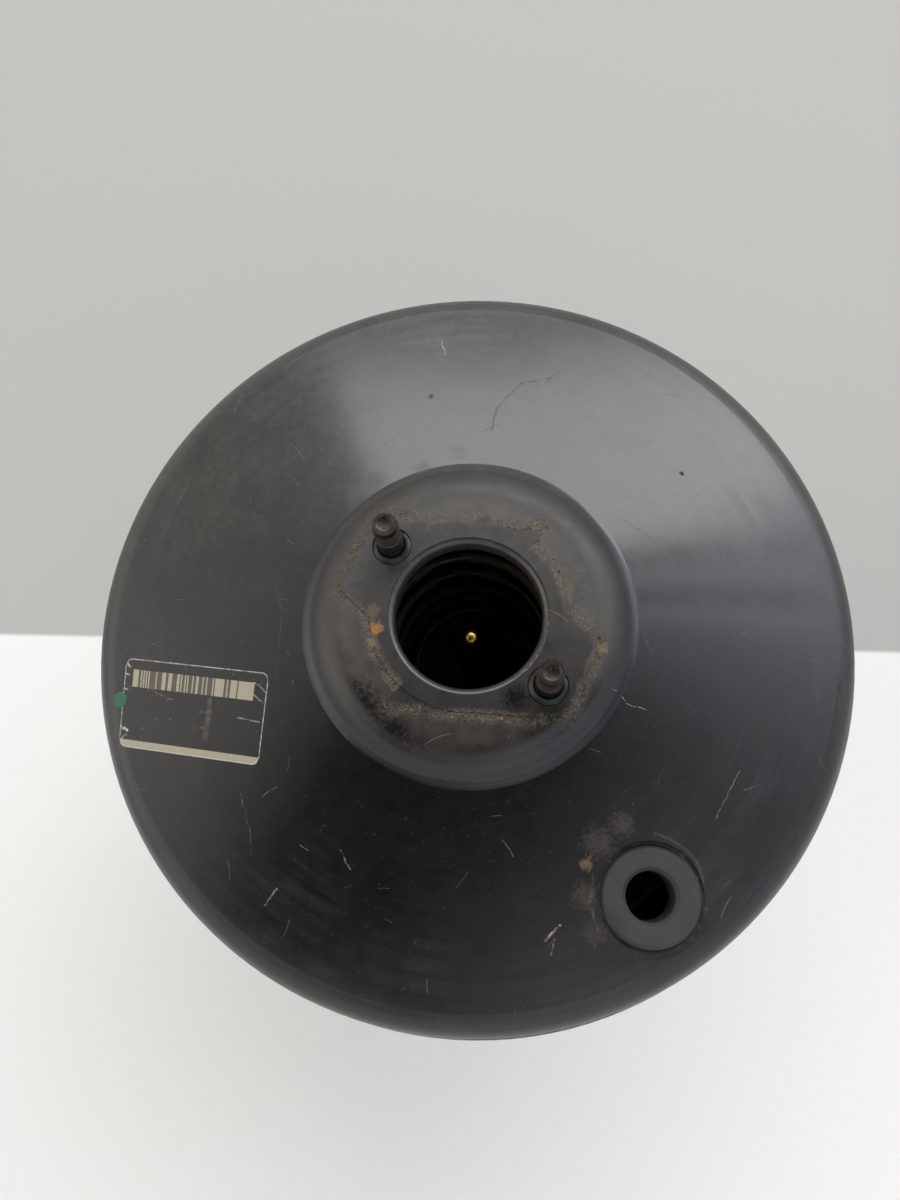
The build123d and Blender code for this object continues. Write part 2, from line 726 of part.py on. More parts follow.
nose_top = disc_seat - plunger_nose_gap
waist_floor = key_floor - key_gap - plunger_travel
with BuildPart() as valve_plunger:
    with BuildSketch(Plane.XZ) as plunger_section:
        ring_section(0, plunger_bore - running_gap, air_seat + plunger_head_thickness, waist_floor)
        ring_section(0, plunger_waist, waist_floor, key_top + key_gap)
        ring_section(0, plunger_bore - running_gap, key_top + key_gap, nose_top)
        ring_section(0, plunger_head_radius, air_seat, air_seat + plunger_head_thickness)
        ring_section(0, seat_rim_inner, air_seat, air_seat + seat_rim_depth, mode=Mode.SUBTRACT)
        ring_section(0, plunger_socket_lip, air_seat, ball_height, mode=Mode.SUBTRACT)
        socket_floor = air_seat + 2 * seat_rim_depth
        ring_section(0, ball_radius + ball_gap, socket_floor, ball_height, mode=Mode.SUBTRACT)
    revolve(axis=Axis.Z)
    with Locations((0, 0, ball_height)):
        Sphere(ball_radius + ball_gap, mode=Mode.SUBTRACT)
save(valve_plunger.part, "valve_plunger")

bead_bottom = poppet_shoulder - poppet_bead_thickness
poppet_back = air_seat - poppet_face_thickness
with BuildPart() as poppet_valve:
    with BuildSketch(Plane.XZ) as poppet_section:
        ring_section(poppet_bore, poppet_radius, poppet_back, air_seat)
        ring_section(poppet_bore, poppet_bore + poppet_wall, bead_bottom, poppet_back)
        ring_section(poppet_bore, retainer_bore_radius - running_gap, bead_bottom, poppet_shoulder)
    revolve(axis=Axis.Z)
save(poppet_valve.part, "poppet_valve")
save(
    coil(poppet_spring_radius, poppet_spring_wire, poppet_spring_turns, poppet_shoulder, poppet_back),
    "poppet_spring",
)

with BuildPart() as poppet_retainer:
    with BuildSketch(Plane.XZ) as poppet_retainer_section:
        outer = retainer_bore_radius - running_gap
        ring_section(outer - retainer_gauge, outer, bead_bottom - retainer_depth, bead_bottom)
        ring_section(retainer_hole, outer, bead_bottom - retainer_gauge, bead_bottom)
    revolve(axis=Axis.Z)
save(poppet_retainer.part, "poppet_retainer")
rod_spring_top = bead_bottom - retainer_gauge
save(
    coil(rod_spring_radius, rod_spring_wire, rod_spring_turns, rod_spring_seat_height, rod_spring_top),
    "rod_return_spring",
)

# ---------------------------------------------------------------- input rod and its fittings
input_neck_end = ball_height - input_neck_length
input_rod_end = clevis_front - rod_grip
with BuildPart() as input_rod:
    with BuildSketch(Plane.XZ) as input_rod_section:
        ring_section(0, input_neck_radius, input_neck_end, ball_height)
        ring_section(0, input_rod_radius, input_rod_end, input_neck_end)
    revolve(axis=Axis.Z)
    with Locations((0, 0, ball_height)):
        Sphere(ball_radius)
    chamfer(input_rod.edges().filter_by(GeomType.CIRCLE).group_by(Axis.Z)[0], stud_chamfer)
save(input_rod.part, "input_rod")

with BuildPart() as rod_spring_seat:
    with BuildSketch(Plane.XZ) as spring_seat_section:
        seat_bore = input_rod_radius + running_gap
        seat_floor = rod_spring_seat_height - rod_spring_seat_thickness
        ring_section(seat_bore, rod_spring_seat_radius, seat_floor, rod_spring_seat_height)
    revolve(axis=Axis.Z)
save(rod_spring_seat.part, "rod_spring_seat")

for filter_name, high, low in (
    ("air_filter", filter_front, filter_split),
    ("silencer_felt", filter_split, -tail_end),
):
    with BuildPart() as filter_ring:
        with BuildSketch(Plane.XZ) as filter_section:
            ring_section(filter_bore, retainer_bore_radius - filter_gap, low, high)
        revolve(axis=Axis.Z)
    save(filter_ring.part, filter_name)

with BuildPart() as lock_nut:
    nut_floor = clevis_front + nut_gap
    with BuildSketch(Plane.XY.offset(nut_floor)) as nut_sketch:
        RegularPolygon(nut_flats / 2, 6, major_radius=False)
        Circle(input_rod_radius + running_gap, mode=Mode.SUBTRACT)
    extrude(amount=nut_thickness)
    with BuildSketch(Plane.XZ) as nut_cone:
        ring_section(0, nut_flats / sqrt(3), nut_floor, nut_floor + nut_thickness)
        chamfer(nut_cone.vertices().group_by(Axis.X)[-1], nut_chamfer)
    revolve(axis=Axis.Z, mode=Mode.INTERSECT)
save(lock_nut.part, "lock_nut")

with BuildPart() as clevis:
    boss_end = clevis_front - clevis_boss_length
    with BuildSketch(Plane.XY.offset(clevis_front)) as clevis_boss:
        Circle(clevis_boss_radius)
    extrude(amount=-clevis_boss_length)
    with BuildSketch(Plane.YZ) as fork_side:
        with Locations((0, (boss_end + pin_height) / 2)):
            Rectangle(2 * clevis_ear_radius, boss_end - pin_height)
        with Locations((0, pin_height)):
            Circle(clevis_ear_radius)
    extrude(amount=clevis_width / 2, both=True)
    fork_end = pin_height - clevis_ear_radius
    with BuildSketch(Plane.XY.offset(fork_end)) as fork_gap_sketch:
        Rectangle(clevis_slot, 2 * clevis_ear_radius)
    extrude(amount=clevis_depth, mode=Mode.SUBTRACT)
    with BuildSketch(Plane.YZ) as pin_sketch:
        with Locations((0, pin_height)):
            Circle(pin_radius)
    extrude(amount=clevis_width / 2, both=True, mode=Mode.SUBTRACT)
    with BuildSketch(Plane.XY.offset(clevis_front)) as thread_sketch:
        Circle(input_rod_radius + running_gap)
    extrude(amount=-rod_grip - clevis_bore_gap, mode=Mode.SUBTRACT)
save(clevis.part, "clevis")

# ---------------------------------------------------------------- dust boot
fold_top = -neck_length - boot_wall
fold_bottom = boot_cuff_length - tail_end
fold_pitch = (fold_top - fold_bottom) / boot_folds
boot_points = [(neck_radius + boot_gap, -boot_front_gap), (neck_radius + boot_gap, fold_top)]
for fold in range(boot_folds):
    valley = fold_top - (fold + 1 / 4) * fold_pitch
    boot_points.append((boot_valley_radius, valley))
    boot_points.append((boot_peak_radius, valley - fold_pitch / 2))
boot_points[-1] = (tail_radius + boot_gap, fold_bottom)
boot_points.append((tail_radius + boot_gap, -tail_end))

with BuildPart() as dust_boot:
    with BuildSketch(Plane.XZ) as boot_section:
        with BuildLine() as boot_line:
            FilletPolyline(*boot_points, radius=boot_wall)
            offset(amount=boot_wall, side=Side.LEFT)
        make_face()
    revolve(axis=Axis.Z)
save(dust_boot.part, "dust_boot")
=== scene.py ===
"""Looks of a single-diaphragm vacuum brake booster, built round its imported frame."""

import logging
import math
import random
from collections.abc import Sequence
from dataclasses import dataclass, field, replace
from enum import Enum
from functools import cached_property

import bmesh
import bpy
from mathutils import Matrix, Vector


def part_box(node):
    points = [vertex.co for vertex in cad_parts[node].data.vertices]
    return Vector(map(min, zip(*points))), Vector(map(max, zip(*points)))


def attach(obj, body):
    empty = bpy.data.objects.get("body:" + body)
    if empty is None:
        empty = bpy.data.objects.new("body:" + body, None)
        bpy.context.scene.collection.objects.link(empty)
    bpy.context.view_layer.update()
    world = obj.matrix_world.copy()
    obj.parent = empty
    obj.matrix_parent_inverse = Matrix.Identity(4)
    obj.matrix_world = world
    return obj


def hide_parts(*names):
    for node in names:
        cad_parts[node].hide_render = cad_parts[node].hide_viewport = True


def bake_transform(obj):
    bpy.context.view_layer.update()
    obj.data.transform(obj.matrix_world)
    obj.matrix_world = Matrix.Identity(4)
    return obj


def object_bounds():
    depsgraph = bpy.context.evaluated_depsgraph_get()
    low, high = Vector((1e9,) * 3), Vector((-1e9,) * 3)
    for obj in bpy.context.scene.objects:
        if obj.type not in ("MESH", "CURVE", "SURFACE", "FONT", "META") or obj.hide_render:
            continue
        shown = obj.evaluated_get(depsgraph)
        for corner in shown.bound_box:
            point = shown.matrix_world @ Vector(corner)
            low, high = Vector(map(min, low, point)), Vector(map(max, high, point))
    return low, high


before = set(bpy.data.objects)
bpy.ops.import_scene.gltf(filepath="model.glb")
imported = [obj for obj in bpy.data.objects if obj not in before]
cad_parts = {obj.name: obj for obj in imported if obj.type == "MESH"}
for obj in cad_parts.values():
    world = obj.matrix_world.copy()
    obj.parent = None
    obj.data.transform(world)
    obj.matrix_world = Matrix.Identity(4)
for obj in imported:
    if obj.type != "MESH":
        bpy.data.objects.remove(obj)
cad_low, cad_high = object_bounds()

log = logging.getLogger("booster")
MM = 0.001
SMOOTH = {"interpolation_type": "SMOOTHSTEP"}
Corner = tuple[float, float]
Bend = tuple[float, float, float]


class Body(str, Enum):
    """The frame's moving bodies."""

    HOUSING = "housing"
    PISTON = "power_piston"
    PLUNGER = "valve_plunger"
    ROD = "input_rod"


# ------------------------------------------------------------------------------ colour and nodes
def linear(hex_colour: str) -> tuple[float, float, float, float]:
    """Turn an sRGB hex colour into Blender's linear colour.

    Args:
        hex_colour: colour such as "#3a3b3d".

    Returns:
        Linear red, green, blue and an alpha of 1.
    """
    parts = [int(hex_colour[i : i + 2], 16) / 255 for i in (1, 3, 5)]
    steps = [c / 12.92 if c <= 0.04045 else ((c + 0.055) / 1.055) ** 2.4 for c in parts]
    return (*steps, 1.0)


@dataclass(frozen=True)
class Value:
    """An output of a node that can be reckoned with; `a | b` is the greater of two.

    What is worked out from a bounded value stays between 0 and 1, as suits a mask. A free one, such
    as a length, isn't held back.
    """

    node: bpy.types.Node
    out: int | str = 0
    bounded: bool = True

    @property
    def free(self) -> "Value":
        """The same value, with no bounds on what is worked out from it."""
        return replace(self, bounded=False)

    def of(self, *outs: int | str) -> list["Value"]:
        """Outputs of the same node, as free values."""
        return [Value(self.node, out, False) for out in outs]

    def maths(self, operation: str, *others: object, first: bool = True) -> "Value":
        """Work out a value from this one and others.

        Args:
            operation: Blender's name of the operation, such as "MULTIPLY".
            others: values or numbers.
            first: put this value before the others.

        Returns:
            The result, bounded if this value is.
        """
        inputs = (self, *others) if first else (*others, self)
        made = add_node(
            self.node.id_data, "Math", inputs, operation=operation, use_clamp=self.bounded
        )
        return replace(made, bounded=self.bounded)

    def __add__(self, other: object) -> "Value":
        """Sum."""
        return self.maths("ADD", other)

    def __sub__(self, other: object) -> "Value":
        """Difference."""
        return self.maths("SUBTRACT", other)

    def __rsub__(self, other: float) -> "Value":
        """What is left of a number."""
        return self.maths("SUBTRACT", other, first=False)

    def __mul__(self, other: object) -> "Value":
        """Product."""
        return self.maths("MULTIPLY", other)

    def __truediv__(self, other: object) -> "Value":
        """Quotient."""
        return self.maths("DIVIDE", other)

    def __or__(self, other: object) -> "Value":
        """The greater of the two."""
        return self.maths("MAXIMUM", other)

    def __gt__(self, other: object) -> "Value":
        """Mask that is 1 where this value is greater."""
        return replace(self.maths("GREATER_THAN", other), bounded=True)

    def __lt__(self, other: object) -> "Value":
        """Mask that is 1 where this value is smaller."""
        return replace(self.maths("LESS_THAN", other), bounded=True)

    __radd__, __rmul__ = __add__, __mul__


def add_node(
    tree: bpy.types.NodeTree,
    kind: str,
    inputs: Sequence | dict = (),
    out: int | str = 0,
    stops: Sequence[tuple[float, str]] = (),
    **settings: object,
) -> Value:
    """Add a node with its settings and links.

    Args:
        tree: node tree of a material or of the world.
        kind: Blender's name of the node type, without its "ShaderNode".
        inputs: values or constants in the order of the inputs, or by their numbers or names.
        out: output that is wanted.
        stops: (place, hex colour) pairs of a colour ramp.
        settings: properties of the node.

    Returns:
        The wanted output.
    """
    node = tree.nodes.new("ShaderNode" + kind)
    for key, value in settings.items():
        setattr(node, key, value)
    for index, (place, hex_colour) in enumerate(stops):
        elements = node.color_ramp.elements
        element = elements[index] if index < len(elements) else elements.new(place)
        element.position, element.color = place, linear(hex_colour)
    for key, value in inputs.items() if isinstance(inputs, dict) else enumerate(inputs):
        if isinstance(value, Value):
            tree.links.new(value.node.outputs[value.out], node.inputs[key])
        else:
            node.inputs[key].default_value = value
    return Value(node, out)


def tinted(tree: bpy.types.NodeTree, under: object, over: object, mask: Value) -> Value:
    """Lay one colour over another where a mask says.

    Args:
        tree: node tree.
        under: value or hex colour that is covered.
        over: value or hex colour laid on top.
        mask: where it lies.

    Returns:
        The mixed colour.
    """
    below, above = (linear(c) if isinstance(c, str) else c for c in (under, over))
    return add_node(tree, "Mix", {0: mask, 6: below, 7: above}, 2, data_type="RGBA")


@dataclass
class Recipe:
    """A material in the making: its node tree, its shader and its colour so far."""

    name: str
    colour: object
    constants: dict[str, object] = field(default_factory=dict)
    shake_mm: float = 1.6
    shake_cell_mm: float = 1 / 0.42

    def __post_init__(self) -> None:
        """Make the material, its shader with constant values, and its coordinates in metres."""
        self.material = bpy.data.materials.new(self.name)
        self.material.use_nodes = True
        self.tree = self.material.node_tree
        self.tree.nodes.clear()
        self.shader = self.add("BsdfPrincipled", self.constants)
        self.add("OutputMaterial", (self.shader,))
        self.where = self.add("TexCoord", out="Object")

    def add(
        self, kind: str, inputs: Sequence | dict = (), out: int | str = 0, **more: object
    ) -> Value:
        """Add a node to the material, as add_node does."""
        return add_node(self.tree, kind, inputs, out, **more)

    @cached_property
    def flat(self) -> Value:
        """Place seen along the axis, in millimetres."""
        return self.add("VectorMath", (self.where, (1 / MM, 1 / MM, 0)), operation="MULTIPLY")

    @cached_property
    def reach(self) -> Value:
        """Distance from the axis, in millimetres."""
        return self.add("VectorMath", (self.flat,), "Value", operation="LENGTH").free

    @cached_property
    def height(self) -> Value:
        """Height along the axis, in metres."""
        return self.add("SeparateXYZ", (self.where,), 2).free

    @cached_property
    def wavy(self) -> Value:
        """Place seen along the axis, shaken a little so that marks get uneven outlines.

        Returns:
            The place in millimetres.
        """
        far = self.shake_mm
        scale = 1 / (self.shake_cell_mm * MM)
        noise = self.add("TexNoise", {"Vector": self.where, "Scale": scale}, "Color")
        moved = self.add("VectorMath", (noise, (far, far, 0), self.flat), operation="MULTIPLY_ADD")
        return self.add("VectorMath", (moved, (far / 2, far / 2, 0)), operation="SUBTRACT")

    @cached_property
    def ragged(self) -> Value:
        """Mask that breaks marks up."""
        return self.cloud(1.3, 0.38, 0.6, 7.0)

    @cached_property
    def grain(self) -> Value:
        """Mask that gives smears a soft, fine grain."""
        return self.cloud(1.1, 0.25, 0.75, 7.0)

    def cloud(
        self, size_mm: float, low: float, high: float, detail: float = 4.0, at: Value | None = None
    ) -> Value:
        """Patchy mask.

        Args:
            size_mm: size of the patches.
            low: noise value at which the mask is 0.
            high: noise value at which the mask is 1.
            detail: octaves of the noise.
            at: coordinates in metres, if not the object's own.

        Returns:
            The mask.
        """
        scale = 1 / (size_mm * MM)
        noise = {"Vector": at or self.where, "Scale": scale, "Detail": detail, "Roughness": 0.6}
        return self.add("MapRange", (self.add("TexNoise", noise), low, high))

    def lay(self, over: object, mask: Value) -> None:
        """Lay a colour over what is there, where a mask says."""
        self.colour = tinted(self.tree, self.colour, over, mask)

    def finish(self, *relief: tuple[Value, float], **inputs: Value) -> bpy.types.Material:
        """Link the colour, the relief and what else varies to the shader.

        Args:
            relief: pairs of a height mask and its depth in millimetres.
            inputs: values by the shader's names of its inputs, with "_" for a space.

        Returns:
            The finished material.
        """
        inputs["Base_Color"] = self.colour
        for height, depth_mm in relief:
            bump = {"Height": height, "Distance": depth_mm * MM, "Strength": 1.0}
            if "Normal" in inputs:
                bump["Normal"] = inputs["Normal"]
            inputs["Normal"] = self.add("Bump", bump)
        for key, value in inputs.items():
            socket = self.shader.node.inputs[key.replace("_", " ")]
            self.tree.links.new(value.node.outputs[value.out], socket)
        return self.material


# ------------------------------------------------------------------------------ finishes
@dataclass(frozen=True)
class MetalFinish:
    """Bare or plated steel: mottled by its plating, dulled by stains, with a fine worked grain."""

    name: str
    colour: str
    mottle: str
    stain: str
    roughness: float
    stain_share: float = 0.45
    mottle_mm: float = 3.0
    grain_mm: float = 0.35  # a worked surface's grain is finer, but this is the finest that shows
    grain_depth_mm: float = 0.01

    def material(self) -> bpy.types.Material:
        """Build the material.

        Returns:
            The material.
        """
        recipe = Recipe(self.name, self.colour, {"Metallic": 1.0})
        clean = 1 - self.stain_share
        patches = recipe.cloud(self.mottle_mm, 0.35, 0.7)
        stains = recipe.cloud(self.mottle_mm * 3, clean, clean + 0.02)
        recipe.lay(self.mottle, patches)
        recipe.lay(self.stain, stains)
        grain = recipe.cloud(self.grain_mm, 0.2, 0.8, 2.0)
        return recipe.finish(
            (grain, self.grain_depth_mm),
            (stains, 0.03),
            Metallic=1.0 - stains * 0.8,
            Roughness=self.roughness + patches * 0.12 + stains * 0.3,
        )


@dataclass(frozen=True)
class RubberFinish:
    """Moulded rubber: matt, greyed in patches by bloom and dust, with a fine spark-eroded grain."""

    name: str
    colour: str
    bloom: str
    roughness: float = 0.62
    bloom_mm: float = 9.0
    bloom_share: float = 0.5
    grain_mm: float = 0.4

    def material(self) -> bpy.types.Material:
        """Build the material.

        Returns:
            The material.
        """
        recipe = Recipe(self.name, self.colour, {"Specular IOR Level": 0.42, "IOR": 1.5})
        bloom = recipe.cloud(self.bloom_mm, 0.3, 0.8, 6.0)
        recipe.lay(self.bloom, bloom * self.bloom_share)
        grain = recipe.cloud(self.grain_mm, 0.2, 0.8, 3.0)
        return recipe.finish((grain, 0.02), Roughness=self.roughness + bloom * 0.2)


@dataclass(frozen=True)
class MouldingFinish:
    """Moulded plastic: a glossy skin, with paler filler and flow streaks along the axis."""

    name: str
    colour: str
    filler: str
    roughness: float = 0.28
    flow_mm: float = 14.0

    def material(self) -> bpy.types.Material:
        """Build the material.

        Returns:
            The material.
        """
        recipe = Recipe(self.name, self.colour, {"IOR": 1.55, "Metallic": 0.0})
        streaked = recipe.add("Mapping", {"Vector": recipe.where, "Scale": (1.0, 1.0, 0.15)})
        flow = recipe.cloud(self.flow_mm / 4, 0.45, 0.75, at=streaked)
        specks = recipe.cloud(0.7, 0.62, 0.68, 2.0)
        recipe.lay(self.filler, flow * 0.5 | specks)
        rough = self.roughness + flow * 0.2
        return recipe.finish((flow, 0.02), (specks, 0.005), Roughness=rough)


@dataclass(frozen=True)
class FibreFinish:
    """Foam or felt: no gloss at all, broken up by cells or matted hairs."""

    name: str
    colour: str
    shade: str
    cell_mm: float
    depth_mm: float

    def material(self) -> bpy.types.Material:
        """Build the material.

        Returns:
            The material.
        """
        constants = {"Roughness": 0.95, "Specular IOR Level": 0.15, "Sheen Weight": 0.3}
        recipe = Recipe(self.name, self.colour, constants)
        place = {"Vector": recipe.where, "Scale": 1 / (self.cell_mm * MM)}
        depth = recipe.add("TexVoronoi", place) * recipe.cloud(self.cell_mm / 2, 0.3, 0.7, 6.0)
        recipe.lay(self.shade, depth)
        return recipe.finish((depth, self.depth_mm))


@dataclass(frozen=True)
class Blemish:
    """A spot on the front shell: a chip, a stain, caked dirt or painted shade; in millimetres."""

    x: float
    y: float
    radius: float
    colour: str
    strength: float = 0.8
    # wiped: a near-black patch of painted shade, which also keeps the enamel's gloss
    wiped: bool = False

    def mask(self, recipe: Recipe) -> Value:
        """Mask of the spot, grainy and thin towards its edge.

        Args:
            recipe: the recipe.

        Returns:
            The mask.
        """
        middle = (self.x, self.y, 0)
        away = recipe.add("VectorMath", (recipe.wavy, middle), "Value", operation="DISTANCE")
        inside = recipe.add("MapRange", (away, self.radius, self.radius * 0.2))
        torn = recipe.add("MapRange", (inside.free + recipe.grain, 0.85, 1.5))
        return torn * (inside * 2.2) * self.strength


@dataclass(frozen=True)
class Stroke:
    """A scratch along a few points, in millimetres."""

    points: tuple[Corner, ...]
    width: float
    colour: str
    strength: float = 0.7
    smooth: bool = False

    def mask(self, recipe: Recipe, place: Value) -> Value:
        """Mask of the scratch, broken up along its length.

        Args:
            recipe: the recipe.
            place: coordinates in millimetres.

        Returns:
            The mask.
        """
        nearest: object = 1000.0
        for start, end in zip(self.points, self.points[1:]):
            run = Vector((end[0] - start[0], end[1] - start[1], 0))
            ahead = tuple(run / run.length_squared)
            away = recipe.add("VectorMath", (place, (*start, 0)), operation="SUBTRACT")
            share = recipe.add("VectorMath", (away, ahead), "Value", operation="DOT_PRODUCT")
            # the sum is bounded, which keeps the foot between the span's two ends
            span = {0: tuple(run), "Scale": share + 0.0}
            foot = recipe.add("VectorMath", span, operation="SCALE")
            gap = recipe.add("VectorMath", (away, foot), "Value", operation="DISTANCE").free
            nearest = gap.maths("MINIMUM", nearest)
        inside = recipe.add("MapRange", (nearest, self.width, self.width * 0.4))
        return inside * (recipe.grain if self.smooth else recipe.ragged) * self.strength


@dataclass(frozen=True)
class EnamelFinish:
    """Black stoving enamel on deep-drawn steel: semi-gloss, orange-peeled, dusty and scuffed."""

    name: str
    colour: str = "#0f1012"
    dust: str = "#8f8a81"
    scuff: str = "#c9c5bb"
    grease: str = "#8d9096"
    rim_dust: str = "#83857c"
    rim_mm: float = 112.0
    rim_foot_mm: float = 74.0
    rim_top_mm: float = 90.0
    roughness: float = 0.12
    peel_mm: float = 1.6
    wave_mm: float = 38.0
    dust_share: float = 0.03
    smudge_share: float = 0.014
    speck_share: float = 0.03
    scratch_share: float = 0.18
    clean_mm: float = 62.0
    dusty_mm: float = 108.0
    wipe_share: float = 0.075
    wipe_width_mm: float = 2.6
    wipe_turns: float = 1.9
    scratch_cell_mm: float = 17.0
    scratch_length_mm: float = 4.5
    scratch_width_mm: float = 0.13
    scratch_bow: float = 0.03
    # gloss lost to the dust film, the smudges, the wipe marks and the rim's dust
    losses: tuple[float, ...] = (0.03, 0.05, 0.22, 0.3)
    loss_share: float = 0.8

    def material(self) -> bpy.types.Material:
        """Build the material.

        Returns:
            The material.
        """
        recipe = self.recipe()
        return self.glossed(recipe, self.coat(recipe))

    def recipe(self) -> Recipe:
        """Start the enamel's recipe."""
        constants = {"IOR": 1.52, "Specular IOR Level": 0.6, "Metallic": 0.0}
        return Recipe(self.name, self.colour, constants)

    def glossed(self, recipe: Recipe, dull: Value) -> bpy.types.Material:
        """Finish the enamel with its gloss, its orange peel and the waves of the drawn sheet.

        Args:
            recipe: the recipe.
            dull: mask of how far the gloss is lost.

        Returns:
            The material.
        """
        peel = recipe.cloud(self.peel_mm, 0.2, 0.8, 2.0)
        wave = recipe.cloud(self.wave_mm, 0.2, 0.8, 1.0)
        rough = dull * (1 - self.roughness) + self.roughness
        return recipe.finish((wave, 0.05), (peel, 0.003), Roughness=rough)

    def coat(self, recipe: Recipe) -> Value:
        """Lay dust, smudges, wipe marks, specks and fine scratches on the black film.

        Args:
            recipe: the recipe.

        Returns:
            The mask of lost gloss.
        """
        film = recipe.cloud(30.0, 0.3, 0.75, 7.0)
        smudge = recipe.cloud(6.5, 0.3, 0.75, 9.0)
        specks = recipe.cloud(1.1, 0.70, 0.74, 1.0)
        outer = recipe.add("MapRange", (recipe.reach, self.clean_mm, self.dusty_mm, 0.12, 1.0))
        marks, wipes = self.scratches(recipe), self.wipes(recipe) * outer
        recipe.lay(self.dust, film * self.dust_share * outer)
        recipe.lay(self.grease, wipes * self.wipe_share)
        recipe.lay(self.dust, smudge * self.smudge_share)
        recipe.lay(self.scuff, specks * self.speck_share)
        recipe.lay(self.scuff, marks * self.scratch_share)
        rim = recipe.add("MapRange", (recipe.reach, self.rim_mm, self.rim_mm + 9))
        ends = (self.rim_foot_mm * MM, self.rim_top_mm * MM)
        rim = rim * recipe.add("MapRange", (recipe.height, *ends))
        recipe.lay(self.rim_dust, rim * (film * 0.6 + 0.5) * 0.05)
        dusted, smeared, wiped, rimmed = self.losses
        dull = film * dusted + marks + smudge * smeared + wipes * wiped + rim * rimmed
        return dull * self.loss_share

    def wipes(self, recipe: Recipe) -> Value:
        """Greasy wipe marks that run round the axis, in patches.

        Args:
            recipe: the recipe.

        Returns:
            The mask.
        """
        across = recipe.add("CombineXYZ", {2: recipe.reach / self.wipe_width_mm})
        spoke = recipe.add("VectorMath", (recipe.flat,), operation="NORMALIZE")
        turned_to = (spoke, (self.wipe_turns, self.wipe_turns, 0.0), across)
        place = recipe.add("VectorMath", turned_to, operation="MULTIPLY_ADD")
        streaks = recipe.cloud(1 / MM, 0.4, 0.75, 6.0, place)
        return streaks * recipe.cloud(24.0, 0.4, 0.68, 5.0)

    def scratches(self, recipe: Recipe) -> Value:
        """Short bowed scratches, one in each cell of a random pattern and each its own way.

        Args:
            recipe: the recipe.

        Returns:
            The mask.
        """
        place = {"Vector": recipe.flat, "Scale": 1 / self.scratch_cell_mm}
        cells = recipe.add("TexVoronoi", place, "Position", voronoi_dimensions="2D")
        away = recipe.add("VectorMath", (recipe.flat, cells), operation="SUBTRACT")
        luck = recipe.add("SeparateXYZ", cells.of("Color")).of(0, 1, 2)
        turn = {"Vector": away, "Angle": luck[0] * math.tau}
        lined = recipe.add("VectorRotate", turn, rotation_type="Z_AXIS")
        x, y = recipe.add("SeparateXYZ", (lined,)).of(0, 1)
        across = (y - x * x * self.scratch_bow).maths("ABSOLUTE")
        thin = across < luck[1] * self.scratch_width_mm
        short = x.maths("ABSOLUTE") < luck[2] * self.scratch_length_mm
        return thin * short * recipe.cloud(2.5, 0.35, 0.6)


